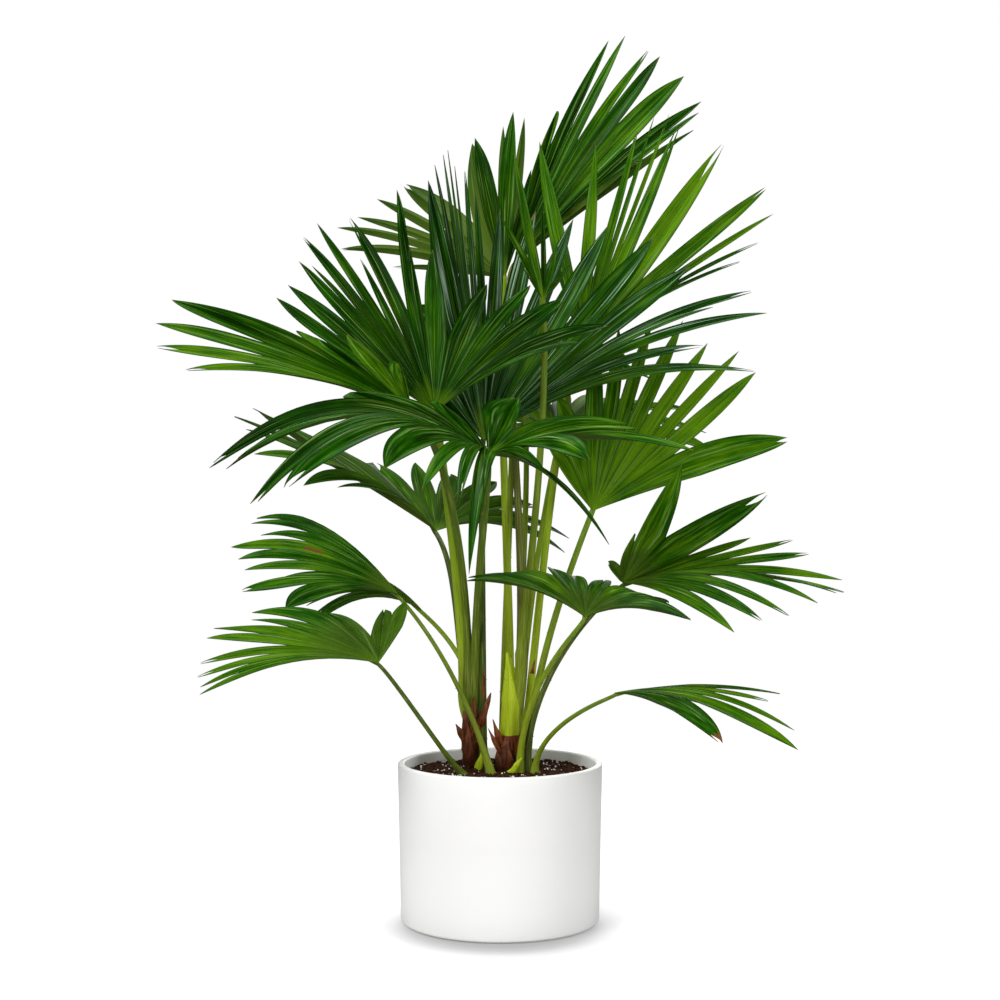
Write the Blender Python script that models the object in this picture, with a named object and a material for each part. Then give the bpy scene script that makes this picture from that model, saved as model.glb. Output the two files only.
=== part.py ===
"""Chinese fan palm in a white cylinder pot.

The pot stands on Z = 0 with its axis on Z, and the plant's front looks toward -Y.
Two short stems and the petioles rise from the soil; every petiole runs under the
hub of a fan blade whose outline is cut into fingers. All lengths are in metres.
"""
import math

import bpy
import numpy as np

# Pot and soil
POT_HEIGHT = 0.215
POT_RIM_RADIUS = 0.140
POT_FOOT_RADIUS = 0.1357
POT_WALL = 0.0095
POT_FLOOR = 0.012
RIM_ROUND = 0.0025
FOOT_ROUND = 0.0045
CORNER_SHARE = 0.3
POT_SIDES = 44
SOIL_TOP = 0.204
SOIL_DROP = 0.004
SOIL_LEVEL_RADIUS = 0.075
SOIL_BEND = 0.4
GAP = 0.0003

# Stems: the left one is one sheathed trunk, the right one carries a green core
LEFT_STEM = dict(foot=(-0.040, 0.020), top=(-0.041, 0.022), rise=0.100, foot_radius=0.0125,
                 top_radius=0.0140)
RIGHT_STEM = dict(foot=(0.007, -0.004), top=(0.013, -0.002), rise=0.048, foot_radius=0.0150,
                  top_radius=0.0140)
CORE = dict(foot=(0.013, -0.002), top=(0.022, 0.004), rise=0.110, foot_radius=0.0128,
            top_radius=0.0120)
STEM_SIDES = 12
STEM_STATIONS = 5

# Petioles
PETIOLE_SIDES = 6
PETIOLE_STATIONS = 9
PETIOLE_FOOT_RADIUS = 0.0045
PETIOLE_HUB_RADIUS = 0.0032
COSTA_SHARE = 0.09
SEAT_PITCH = 0.0090

# Blades
BLADE_THICKNESS = 0.0046
UNITED_STATIONS = (0.45, 1.0)
FREE_STATIONS = (0.25, 0.50, 0.72, 0.89)
FINGER_TAPER = 3.0
NOTCH_SPREAD = 0.08
NOTCH_LIMITS = (0.20, 0.85)
LENGTH_SPREAD = 0.06
SWAY_SPREAD = 0.24
SAG_SPREAD = 0.25
BEND_POWER = 1.5
HUB_SHARE = 0.04
NORMAL_STEP = 0.02
SMOOTH_ANGLE = 50

# Caps that carry petioles
LEFT_CAP = "left"
CORE_CAP = "core"


def frond(name, hub, fingers, guides, **shape):
    """One frond: hub place, number of fingers, and guide fingers from one edge of the fan to the other.

    A guide is (finger, swing, lean, length, arch): swing is its angle from upright in the front view,
    positive to the right; lean is its angle away from the front, negative toward it; arch is the share of
    the length by which it bulges upward. United is the usual share of the length joined to the neighbours,
    and splits gives single notches a share of their own.
    """
    usual = dict(united=0.50, splits={}, root=None, cap=None, bearing=0, ring=SEAT_PITCH, lean=0.30,
                 rise=0.38, settle=0.28, seat=0.0)
    usual.update(shape)
    usual.update(name=name, hub=hub, fingers=fingers, guides=guides)
    return usual


FRONDS = [
    frond("top_right", (0.020, 0.185, 0.922), 10,
          [(0, 15, 22, 0.280, 0.02), (1, 22, 20, 0.425, 0.03), (2, 25, 18, 0.435, 0.03),
           (3, 31, 17, 0.425, 0.03), (4, 34, 15, 0.420, 0.03), (5, 41, 13, 0.410, 0.03),
           (6, 48, 10, 0.390, 0.02), (7, 50, 6, 0.365, 0.02), (8, 53, 2, 0.335, 0.02),
           (9, 50, 0, 0.245, 0.02)],
          united=0.58, cap=CORE_CAP, bearing=20, lean=0.1, rise=0.50, settle=0.08, seat=-0.0002),
    frond("top_mid", (0.006, 0.100, 0.888), 3,
          [(0, -11, 22, 0.245, 0.0), (1, 3, 20, 0.280, 0.0), (2, 13, 24, 0.195, 0.0)],
          united=0.42, root=(0.016, 0.032), lean=0.6, rise=0.50),
    frond("upper_mid", (0.058, -0.060, 0.841), 6,
          [(0, -33, -10, 0.060, 0.0), (1, -28, -12, 0.125, 0.0), (2, -12, -14, 0.200, 0.0),
           (3, -1, -10, 0.125, 0.0), (4, 14, -6, 0.080, 0.0), (5, 38, -4, 0.060, 0.0)],
          united=0.30, cap=CORE_CAP, bearing=-40, lean=1.5, rise=0.15),
    frond("right_high", (0.114, 0.070, 0.790), 11,
          [(0, -10, 20, 0.340, 0.0), (1, 5, 18, 0.325, 0.0), (2, 15, 16, 0.350, 0.0),
           (3, 18, 15, 0.380, 0.0), (4, 21, 14, 0.385, -0.01), (5, 24, 12, 0.370, -0.01),
           (6, 35, 10, 0.370, -0.01), (7, 49, 8, 0.360, 0.01), (8, 55, 8, 0.345, 0.02),
           (9, 59, 10, 0.305, 0.04), (10, 61, 14, 0.275, 0.05)],
          united=0.42, splits={1: 0.25, 2: 0.32}, root=(0.030, 0.030), lean=0.9, rise=0.25, settle=0.16),
    frond("centre", (-0.023, 0.010, 0.657), 21,
          [(0, -46, -4, 0.110, 0.0), (1, -28, -6, 0.200, 0.0), (2, -12, -8, 0.360, 0.0),
           (3, -10, -4, 0.380, 0.0), (4, -8, -1, 0.395, 0.0), (5, -7, 2, 0.405, 0.0),
           (6, -6, 4, 0.385, 0.0), (7, -4, 6, 0.380, 0.0), (9, 4, 8, 0.330, 0.0), (11, 22, 8, 0.340, 0.0),
           (13, 40, 4, 0.370, 0.0), (14, 50, 3, 0.375, 0.03), (15, 61, 2, 0.425, 0.07),
           (16, 60, 0, 0.365, 0.07), (17, 66, -2, 0.425, 0.08), (18, 67, -4, 0.325, 0.08),
           (20, 76, -6, 0.380, 0.10)],
          root=(-0.023, 0.006), lean=1.0, rise=0.20, settle=0.04),
    frond("front_left", (-0.086, -0.090, 0.690), 16,
          [(0, -54, 10, 0.270, 0.0), (1, -49, 11, 0.270, 0.0), (2, -42, 12, 0.285, 0.02),
           (3, -40, 13, 0.270, 0.02), (4, -37, 13, 0.310, 0.03), (5, -32, 13, 0.315, 0.03),
           (6, -26, 10, 0.235, 0.04), (7, -24, 11, 0.295, 0.05), (8, -10, 11, 0.315, 0.03),
           (9, -9, 9, 0.230, 0.01), (10, -1, 7, 0.220, 0.0), (11, 22, 5, 0.185, 0.04),
           (12, 37, 1, 0.210, 0.06), (13, 49, -3, 0.225, 0.06), (14, 64, -8, 0.255, 0.07),
           (15, 65, -14, 0.210, 0.08)],
          splits={0: 0.74, 1: 0.62, 2: 0.62, 3: 0.62, 4: 0.60, 5: 0.55, 7: 0.36, 8: 0.42},
          cap=LEFT_CAP, bearing=190, lean=0.0, rise=0.30, settle=0.04),
    frond("left_high", (-0.115, -0.130, 0.689), 7,
          [(0, -80, -8, 0.290, 0.07), (1, -76, -4, 0.335, 0.04), (2, -71, 0, 0.350, 0.04),
           (3, -65, 2, 0.345, 0.03), (4, -52, 4, 0.155, 0.02), (5, -40, 2, 0.130, 0.02),
           (6, -13, -6, 0.060, 0.02)],
          united=0.58, splits={0: 0.45}, cap=LEFT_CAP, bearing=-105, lean=0.0, rise=0.55, settle=0.10),
    frond("front", (-0.015, -0.170, 0.630), 19,
          [(-0.5, -8, 12, 0.075, 0.04), (0, 27, 8, 0.085, 0.04), (1, 79, -14, 0.190, 0.10),
           (2, 89, -18, 0.265, 0.08), (3, 94, -42, 0.165, 0.12), (4, 111, -55, 0.140, 0.12),
           (5, 127, -38, 0.230, 0.14), (6, 188, -62, 0.300, 0.18), (7, 184, -72, 0.235, 0.15),
           (8, 209, -72, 0.220, 0.15), (9, 240, -64, 0.200, 0.15), (10, 261, -52, 0.200, 0.15),
           (11, 260, -36, 0.295, 0.20), (12, 258, -28, 0.315, 0.21), (13, 258, -22, 0.315, 0.24),
           (14, 269, -12, 0.315, 0.17), (15, 267, -6, 0.330, 0.18), (16, 268, -2, 0.350, 0.19),
           (17, 295, 4, 0.195, 0.06), (18, 318, 12, 0.095, 0.03)],
          splits={0: 0.75, 1: 0.30, 5: 0.30, 6: 0.18, 7: 0.24, 8: 0.30, 11: 0.60, 12: 0.65, 13: 0.65,
                  14: 0.42, 15: 0.70, 16: 0.70, 17: 0.55, 18: 0.60},
          cap=LEFT_CAP, bearing=-50, lean=0.1, rise=0.50, settle=0.06, seat=-0.0001),
    frond("right_mid", (0.127, 0.000, 0.559), 10,
          [(0, -34, 6, 0.110, 0.0), (2, 1, 10, 0.235, 0.0), (4, 18, 12, 0.285, 0.0),
           (5, 26, 12, 0.305, 0.0), (6, 35, 12, 0.295, 0.0), (7, 43, 12, 0.315, 0.0),
           (8, 50, 9, 0.305, 0.0), (8.5, 58, 8, 0.280, 0.02), (9, 70, 5, 0.290, 0.04),
           (9.5, 74, 4, 0.250, 0.02)],
          splits={9: 0.48, 10: 0.62}, root=(0.037, 0.010), lean=0.1, rise=0.35, settle=0.20, seat=-0.0004),
    frond("back_left", (0.005, 0.200, 0.904), 9,
          [(0, 7, 28, 0.310, 0.0), (1, 0, 28, 0.290, 0.0), (2, -12, 30, 0.270, 0.0),
           (3, -43, 34, 0.275, 0.03), (4, -54, 32, 0.290, 0.04), (5, -63, 32, 0.305, 0.04),
           (6, -69, 30, 0.325, 0.05), (7, -76, 28, 0.295, 0.05), (8, -81, 24, 0.185, 0.04)],
          united=0.42, root=(0.004, 0.062), lean=0.3, settle=0.08),
    frond("left_mid", (-0.091, 0.100, 0.530), 13,
          [(0, -66, -12, 0.155, 0.16), (1, -71, -10, 0.200, 0.18), (2, -67, -6, 0.280, 0.12),
           (3, -62, 2, 0.310, 0.05), (5, -57, 18, 0.345, 0.02), (6, -45, 50, 0.220, 0.0),
           (7, -21, 58, 0.205, 0.0), (9, 50, 56, 0.200, 0.04), (11, 94, 30, 0.225, 0.12),
           (12, 100, 15, 0.195, 0.14)],
          cap=LEFT_CAP, bearing=130, lean=0.8, rise=0.40, settle=0.30),
    frond("left_fan", (-0.140, 0.020, 0.443), 9,
          [(0, -95, -34, 0.175, 0.10), (1, -87, -26, 0.225, 0.08), (2, -83, -20, 0.180, 0.08),
           (3, -80, -14, 0.215, 0.09), (4, -77, -8, 0.225, 0.10), (5, -74, -2, 0.240, 0.11),
           (6, -67, 4, 0.210, 0.13), (7, -65, 10, 0.235, 0.13), (8, -63, 16, 0.240, 0.14)],
          united=0.66, root=(-0.012, -0.040), lean=0.5, rise=0.50, settle=0.08),
    frond("left_fan_rear", (-0.112, 0.100, 0.417), 8,
          [(0, -97, -20, 0.165, 0.18), (2, -88, 0, 0.165, 0.15), (4, -76, 14, 0.175, 0.12),
           (6, -66, 26, 0.160, 0.10), (7, -68, 38, 0.095, 0.08)],
          united=0.60, root=(-0.022, 0.054), lean=0.0, rise=0.50, settle=0.24),
    frond("left_low", (-0.156, -0.150, 0.365), 11,
          [(0, -98, -24, 0.235, 0.09), (1, -96, -20, 0.230, 0.09), (2, -93, -16, 0.230, 0.08),
           (3, -89, -12, 0.225, 0.07), (4, -81, -8, 0.220, 0.05), (5, -78, -2, 0.215, 0.05),
           (6, -72, 6, 0.175, 0.08), (7, -70, 14, 0.185, 0.11), (8, -51, 30, 0.110, 0.10),
           (9, 3, 40, 0.085, 0.0), (10, 23, 30, 0.095, 0.0)],
          united=0.58, splits={9: 0.40, 10: 0.80}, root=(-0.050, -0.042), lean=1.3, rise=0.20, settle=0.08),
    frond("right_fan", (0.167, -0.020, 0.461), 14,
          [(0, -35, 34, 0.040, 0.0), (1, 16, 30, 0.080, 0.0), (2, 26, -5, 0.180, 0.0),
           (3, 58, 0, 0.230, 0.0), (4, 71, 8, 0.190, 0.0), (5, 76, 4, 0.240, 0.0),
           (6, 81, 0, 0.255, 0.02), (7, 89, -4, 0.295, 0.05), (8, 92, -8, 0.295, 0.06),
           (9, 92, -14, 0.285, 0.08), (10, 95, -20, 0.265, 0.10), (11, 100, -30, 0.240, 0.10),
           (12, 104, -36, 0.215, 0.10), (13, 113, -44, 0.200, 0.08)],
          splits={2: 0.38, 3: 0.40, 4: 0.45}, root=(0.036, -0.013), lean=0.0, rise=0.50, settle=0.05),
    frond("mid_right", (0.110, -0.140, 0.423), 9,
          [(0, -72, -20, 0.170, 0.10), (1, -71, -6, 0.160, 0.12), (2, -64, 16, 0.125, 0.14),
           (3, -36, 42, 0.100, 0.14), (4, -10, 60, 0.100, 0.10), (5, 35, 58, 0.100, 0.10),
           (6, 68, 40, 0.100, 0.12), (8, 90, -22, 0.140, 0.12)],
          united=0.62, root=(0.027, -0.022), lean=0.0, rise=0.50, settle=0.05, seat=-0.0008),
    frond("right_low", (0.149, -0.120, 0.323), 5,
          [(0, 91, 6, 0.220, 0.04), (1, 93, 0, 0.200, 0.05), (2, 101, -8, 0.235, 0.10),
           (3, 106, -14, 0.245, 0.10), (4, 112, -38, 0.170, 0.10)],
          united=0.45, root=(0.047, -0.034), lean=0.0, rise=0.35, settle=0.12),
    frond("back_high", (0.030, 0.190, 0.760), 12,
          [(0, -92, 30, 0.220, 0.10), (3, -64, 52, 0.270, 0.10), (6, -10, 66, 0.300, 0.08),
           (9, 60, 56, 0.280, 0.10), (11, 90, 30, 0.240, 0.10)],
          root=(0.024, 0.070)),
    frond("back_right", (0.085, 0.165, 0.655), 12,
          [(0, -92, 55, 0.200, 0.10), (3, -50, 66, 0.250, 0.08), (6, 40, 66, 0.290, 0.06),
           (9, 74, 40, 0.290, 0.08), (11, 92, 12, 0.240, 0.10)],
          root=(0.024, 0.050)),
]


def clear_scene():
    for item in list(bpy.data.objects):
        bpy.data.objects.remove(item, do_unlink=True)


def material(name, colour, roughness, metallic=0.0):
    """A plain Principled material with a base colour, a roughness and a metallic value."""
    made = bpy.data.materials.new(name)
    made.use_nodes = True
    shader = made.node_tree.nodes["Principled BSDF"]
    shader.inputs["Base Color"].default_value = (*colour, 1.0)
    shader.inputs["Roughness"].default_value = roughness
    shader.inputs["Metallic"].default_value = metallic
    made.diffuse_color = (*colour, 1.0)
    return made


def add_body(name, points, faces, surface, smooth_angle=None):
    """Make one named object from points and faces, smooth-shaded where an angle is given."""
    mesh = bpy.data.meshes.new(name)
    mesh.from_pydata([tuple(p) for p in points], [], faces)
    mesh.validate()
    mesh.materials.append(surface)
    if smooth_angle is not None:
        mesh.shade_smooth()
        mesh.set_sharp_from_angle(angle=math.radians(smooth_angle))
    body = bpy.data.objects.new(name, mesh)
    bpy.context.collection.objects.link(body)
    return body


def unit(vectors):
    return vectors / np.linalg.norm(vectors, axis=-1, keepdims=True)


def lathe(name, profile, sides, surface, smooth_angle):
    """Turn a profile of (radius, height) about Z; a profile that starts and ends on Z closes itself."""
    points, rings = [], []
    for radius, height in profile:
        if radius == 0.0:
            rings.append([len(points)])
            points.append((0.0, 0.0, height))
            continue
        rings.append([len(points) + k for k in range(sides)])
        for k in range(sides):
            turn = 2.0 * math.pi * k / sides
            points.append((radius * math.cos(turn), radius * math.sin(turn), height))
    faces = []
    for low, high in zip(rings, rings[1:]):
        for k in range(sides):
            after = (k + 1) % sides
            if len(low) == 1:
                faces.append((low[0], high[after], high[k]))
            elif len(high) == 1:
                faces.append((low[k], low[after], high[0]))
            else:
                faces.append((low[k], low[after], high[after], high[k]))
    return add_body(name, points, faces, surface, smooth_angle)


def make_pot(surface):
    """Pot shell: flat underside, slight taper, rounded foot and rim, level floor inside."""
    inner_rim = POT_RIM_RADIUS - POT_WALL
    inner_foot = POT_FOOT_RADIUS - POT_WALL
    profile = [
        (0.0, 0.0),
        (POT_FOOT_RADIUS - FOOT_ROUND, 0.0),
        (POT_FOOT_RADIUS - CORNER_SHARE * FOOT_ROUND, CORNER_SHARE * FOOT_ROUND),
        (POT_FOOT_RADIUS, FOOT_ROUND),
        (POT_RIM_RADIUS, POT_HEIGHT - RIM_ROUND),
        (POT_RIM_RADIUS - CORNER_SHARE * RIM_ROUND, POT_HEIGHT - CORNER_SHARE * RIM_ROUND),
        (POT_RIM_RADIUS - RIM_ROUND, POT_HEIGHT),
        (inner_rim + RIM_ROUND, POT_HEIGHT),
        (inner_rim + CORNER_SHARE * RIM_ROUND, POT_HEIGHT - CORNER_SHARE * RIM_ROUND),
        (inner_rim, POT_HEIGHT - RIM_ROUND),
        (inner_foot, POT_FLOOR),
        (0.0, POT_FLOOR),
    ]
    return lathe("pot", profile, POT_SIDES, surface, 40)


def inner_radius(height):
    """Radius of the pot's inner wall at a height between its floor and its rim."""
    share = (height - POT_FLOOR) / (POT_HEIGHT - RIM_ROUND - POT_FLOOR)
    return POT_FOOT_RADIUS - POT_WALL + share * (POT_RIM_RADIUS - POT_FOOT_RADIUS)


def make_soil(surface):
    """Soil fill: level about the stems and falling a little toward the wall."""
    low = POT_FLOOR + GAP
    edge = SOIL_TOP - SOIL_DROP
    profile = [
        (0.0, low),
        (inner_radius(low) - 2.0 * GAP, low),
        (inner_radius(edge) - 2.0 * GAP, edge),
        (0.5 * (SOIL_LEVEL_RADIUS + inner_radius(edge)), SOIL_TOP - SOIL_BEND * SOIL_DROP),
        (SOIL_LEVEL_RADIUS, SOIL_TOP),
        (0.0, SOIL_TOP),
    ]
    return lathe("soil", profile, POT_SIDES, surface, 30)


def sweep(name, path, radii, sides, surface):
    """Carry a ring of a given radius along a path; the first ring lies level on what is below it."""
    path = np.asarray(path, float)
    radii = np.asarray(radii, float)
    tangents = unit(np.gradient(path, axis=0))
    rings = []
    across = unit(np.cross(tangents[0], (0.0, 1.0, 0.0)))
    for place, ahead, radius in zip(path, tangents, radii):
        across = unit(across - np.dot(across, ahead) * ahead)
        upward = np.cross(ahead, across)
        turn = 2.0 * np.pi * np.arange(sides) / sides
        ring = radius * (np.cos(turn)[:, None] * across + np.sin(turn)[:, None] * upward)
        if not rings:
            ring = ring - np.outer(ring[:, 2] / ahead[2], ahead)
        rings.append(place + ring)
    points = np.concatenate(rings)
    faces = [tuple(reversed(range(sides)))]
    for k in range(len(rings) - 1):
        for j in range(sides):
            after = (j + 1) % sides
            faces.append((k * sides + j, k * sides + after, (k + 1) * sides + after, (k + 1) * sides + j))
    faces.append(tuple((len(rings) - 1) * sides + j for j in range(sides)))
    return add_body(name, points, faces, surface, SMOOTH_ANGLE)


def make_stem(name, spec, base, surface):
    """A short upright stem from its foot to its level cap, tapering between two radii."""
    share = np.linspace(0.0, 1.0, STEM_STATIONS)
    foot = np.array((*spec["foot"], base))
    top = np.array((*spec["top"], base + spec["rise"]))
    path = foot + share[:, None] * (top - foot)
    radii = spec["foot_radius"] + share * (spec["top_radius"] - spec["foot_radius"])
    path[:, 2] = base + share * spec["rise"]
    points, faces = [], []
    for place, radius in zip(path, radii):
        for j in range(STEM_SIDES):
            turn = 2.0 * math.pi * j / STEM_SIDES
            points.append((place[0] + radius * math.cos(turn), place[1] + radius * math.sin(turn), place[2]))
    faces.append(tuple(reversed(range(STEM_SIDES))))
    for k in range(len(path) - 1):
        for j in range(STEM_SIDES):
            after = (j + 1) % STEM_SIDES
            low, high = k * STEM_SIDES, (k + 1) * STEM_SIDES
            faces.append((low + j, low + after, high + after, high + j))
    faces.append(tuple((len(path) - 1) * STEM_SIDES + j for j in range(STEM_SIDES)))
    add_body(name, points, faces, surface, SMOOTH_ANGLE)
    return base + spec["rise"]


def guide_ahead(swing, lean):
    """Unit direction of a guide from its swing and lean in degrees."""
    swing, lean = np.radians(swing), np.radians(lean)
    return np.stack([np.sin(swing) * np.cos(lean), np.sin(lean), np.cos(swing) * np.cos(lean)], axis=-1)


def smooth_through(knots, values, at):
    """Values at new places on a cubic that passes through the knots with averaged slopes."""
    values = values.reshape(len(knots), -1)
    slopes = np.gradient(values, knots, axis=0)
    k = np.clip(np.searchsorted(knots, at) - 1, 0, len(knots) - 2)
    gap = (knots[k + 1] - knots[k])[:, None]
    t = (at - knots[k])[:, None] / gap
    return ((2 * t ** 3 - 3 * t ** 2 + 1) * values[k] + (t ** 3 - 2 * t ** 2 + t) * gap * slopes[k]
            + (3 * t ** 2 - 2 * t ** 3) * values[k + 1] + (t ** 3 - t ** 2) * gap * slopes[k + 1])


def fan_points(spec, at, share):
    """Points of the fan at places counted in fingers from its first edge and at shares of its length.

    A line of the fan leaves the hub along its own direction, bulges upward by its arch and comes back to
    its chord at the tip; directions, lengths and arches pass smoothly from guide to guide.
    """
    guides = np.array(spec["guides"], float)
    at, share = np.broadcast_arrays(np.atleast_1d(at), share)
    knots = guides[:, 0] + 0.5
    ahead = unit(smooth_through(knots, guide_ahead(guides[:, 1], guides[:, 2]), at))
    length = smooth_through(knots, guides[:, 3], at)
    arch = smooth_through(knots, guides[:, 4], at)
    share = share[:, None]
    bulge = 4.0 * share * (1.0 - share) * arch * np.array((0.0, 0.0, 1.0))
    return np.asarray(spec["hub"]) + length * (share * ahead + bulge)


def fan_normals(spec, at, share):
    """Upper normals of the fan at the same kind of places."""
    before, after = np.maximum(at - 0.5, 0), np.minimum(at + 0.5, spec["fingers"])
    across = fan_points(spec, after, share) - fan_points(spec, before, share)
    ahead = fan_points(spec, at, share + NORMAL_STEP) - fan_points(spec, at, share - NORMAL_STEP)
    return unit(np.cross(across, ahead))


def hub_frame(spec):
    """Direction of the middle finger as it leaves the hub, and the blade's upper normal there."""
    middle = 0.5 * spec["fingers"]
    axis = unit(fan_points(spec, middle, HUB_SHARE)[0] - np.asarray(spec["hub"]))
    upper = fan_normals(spec, np.array([middle]), HUB_SHARE)[0]
    return axis, unit(upper - np.dot(upper, axis) * axis)


def finger_draws(spec, seed):
    """Seeded share of each notch, and stretch, sway and sag of each finger that no guide names."""
    count = spec["fingers"]
    draw = np.random.default_rng(seed)
    notch = np.clip(spec["united"] + NOTCH_SPREAD * draw.uniform(-1.0, 1.0, count + 1), *NOTCH_LIMITS)
    for edge, share in spec["splits"].items():
        notch[edge] = share
    loose = ~np.isin(np.arange(count), [guide[0] for guide in spec["guides"]])
    stretch = 1.0 + LENGTH_SPREAD * draw.uniform(-1.0, 1.0, count) * loose
    sway = SWAY_SPREAD * draw.uniform(-1.0, 1.0, count) * loose
    sag = SAG_SPREAD * draw.uniform(0.0, 1.0, count) * loose
    return notch, stretch, sway, sag


def finger_sides(spec, draws, part):
    """Left and right side and upper normal of every finger, at a part of the way from notch to tip.

    Each side keeps the width it had at its own notch and narrows by the taper's power of the part; the
    whole finger drifts by its sway and sag, which grow toward the tip.
    """
    notch, stretch, sway, sag = draws
    at = np.arange(spec["fingers"]) + 0.5
    spread = fan_points(spec, at + 0.5, 1.0) - fan_points(spec, at - 0.5, 1.0)
    drop = np.linalg.norm(spread, axis=1)[:, None] * np.array((0.0, 0.0, 1.0))
    drift = part ** BEND_POWER * (sway[:, None] * spread - sag[:, None] * drop)
    sides = []
    for joined, turn in ((notch[:-1], -0.5), (notch[1:], 0.5)):
        share = joined + (1.0 - joined) * part * stretch
        reach = joined / share * (1.0 - part ** FINGER_TAPER)
        sides.append(fan_points(spec, at + turn * reach, share) + drift)
    normal = fan_normals(spec, at, np.minimum(share, 1.0))
    return sides[0], sides[1], normal


def make_blade(spec, surface, seed):
    """A fan blade of one thickness: united near the hub, cut into tapering fingers beyond the notches."""
    count = spec["fingers"]
    draws = finger_draws(spec, seed)
    half = 0.5 * BLADE_THICKNESS
    top_points, low_points = [], []

    def add(place, normal):
        top_points.append(place + half * normal)
        low_points.append(place - half * normal)
        return len(top_points) - 1

    def add_all(places, normals):
        return [add(p, n) for p, n in zip(places, normals)]

    hub = add(np.asarray(spec["hub"]), hub_frame(spec)[1])
    places = np.arange(count + 1.0)
    rings = [add_all(fan_points(spec, places, part * draws[0]), fan_normals(spec, places, part * draws[0]))
             for part in UNITED_STATIONS]
    sheets = [(hub, rings[0][i], rings[0][i + 1]) for i in range(count)]
    for inner, outer in zip(rings, rings[1:]):
        sheets += [(inner[i], outer[i], outer[i + 1], inner[i + 1]) for i in range(count)]
    first_edge = [hub] + [ring[0] for ring in rings]
    last_edge = [hub] + [ring[-1] for ring in rings]
    walls = list(zip(first_edge, first_edge[1:])) + list(zip(last_edge[1:], last_edge))

    left, right = rings[-1][:-1], rings[-1][1:]
    for part in FREE_STATIONS:
        left_places, right_places, normals = finger_sides(spec, draws, part)
        next_left, next_right = add_all(left_places, normals), add_all(right_places, normals)
        sheets += list(zip(left, next_left, next_right, right))
        walls += list(zip(left, next_left)) + list(zip(next_right, right))
        left, right = next_left, next_right
    left_places, right_places, normals = finger_sides(spec, draws, 1.0)
    tips = add_all(0.5 * (left_places + right_places), normals)
    sheets += list(zip(left, tips, right))
    walls += list(zip(left, tips)) + list(zip(tips, right))

    lower = len(top_points)
    faces = [tuple(reversed(sheet)) for sheet in sheets]
    faces += [tuple(lower + v for v in sheet) for sheet in sheets]
    faces += [(a, b, lower + b, lower + a) for a, b in walls]
    return add_body("blade_" + spec["name"], top_points + low_points, faces, surface)


def petiole_root(spec, cap_heights):
    """Foot of a petiole: on the soil, or on a stem's cap at a bearing from the cap's middle."""
    if spec["cap"] is None:
        return np.array((*spec["root"], SOIL_TOP + GAP))
    stem = LEFT_STEM if spec["cap"] == LEFT_CAP else CORE
    turn = math.radians(spec["bearing"])
    x = stem["top"][0] + spec["ring"] * math.cos(turn)
    y = stem["top"][1] + spec["ring"] * math.sin(turn)
    return np.array((x, y, cap_heights[spec["cap"]] + GAP))


def make_petiole(spec, cap_heights, surface):
    """A tapering petiole that leaves its root near upright and ends under the blade's middle finger."""
    axis, upper = hub_frame(spec)
    foot = petiole_root(spec, cap_heights)
    seat = 0.5 * BLADE_THICKNESS + PETIOLE_HUB_RADIUS + GAP + spec["seat"]
    end = np.asarray(spec["hub"]) - seat * upper
    costa = fan_points(spec, 0.5 * spec["fingers"], COSTA_SHARE)[0] - seat * upper
    span = np.linalg.norm(end - foot)
    leave = unit((end - foot) * (spec["lean"], spec["lean"], 1.0))
    t = np.linspace(0.0, 1.0, PETIOLE_STATIONS)[:, None]
    first = foot + spec["rise"] * span * leave
    last = end - spec["settle"] * span * axis
    path = (1 - t) ** 3 * foot + 3 * (1 - t) ** 2 * t * first + 3 * (1 - t) * t * t * last + t ** 3 * end
    path = np.vstack([path, costa])
    radii = PETIOLE_FOOT_RADIUS + (PETIOLE_HUB_RADIUS - PETIOLE_FOOT_RADIUS) * t[:, 0]
    radii = np.append(radii, 0.5 * PETIOLE_HUB_RADIUS)
    return sweep("petiole_" + spec["name"], path, radii, PETIOLE_SIDES, surface)


def main():
    clear_scene()
    glaze = material("pot_white", (0.86, 0.86, 0.84), 0.45)
    earth = material("soil_dark", (0.045, 0.028, 0.018), 0.95)
    sheath = material("sheath_brown", (0.13, 0.045, 0.022), 0.80)
    stalk = material("petiole_green", (0.22, 0.34, 0.06), 0.45)
    leaf = material("leaf_green", (0.045, 0.17, 0.020), 0.40)
    make_pot(glaze)
    make_soil(earth)
    base = SOIL_TOP + GAP
    left_cap = make_stem("stem_left", LEFT_STEM, base, sheath)
    right_cap = make_stem("stem_right", RIGHT_STEM, base, sheath)
    core_cap = make_stem("core_right", CORE, right_cap + GAP, stalk)
    cap_heights = {LEFT_CAP: left_cap, CORE_CAP: core_cap}
    for seed, spec in enumerate(FRONDS):
        make_petiole(spec, cap_heights, stalk)
        make_blade(spec, leaf, seed)


main()
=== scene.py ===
"""Looks of the potted fan palm, laid out as an add-on that also runs as a script.

Lengths are in metres in the frame's own axes: the pot stands on Z = 0 and the front looks toward -Y.
"""
import math

import bpy
import numpy as np
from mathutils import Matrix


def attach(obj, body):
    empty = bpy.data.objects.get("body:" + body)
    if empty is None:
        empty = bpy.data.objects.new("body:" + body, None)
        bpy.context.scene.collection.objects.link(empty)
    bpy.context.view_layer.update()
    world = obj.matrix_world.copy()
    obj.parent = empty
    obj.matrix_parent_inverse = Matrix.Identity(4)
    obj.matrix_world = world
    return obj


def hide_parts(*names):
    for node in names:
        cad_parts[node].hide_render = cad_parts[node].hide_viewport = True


bl_info = {
    "name": "Potted Fan Palm",
    "version": (1, 0, 0),
    "blender": (4, 5, 0),
    "location": "3D View > Sidebar > Fan Palm",
    "description": "Fine fan blades, petioles, stems, soil and pot for a potted fan palm",
    "category": "Add Mesh",
}

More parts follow.
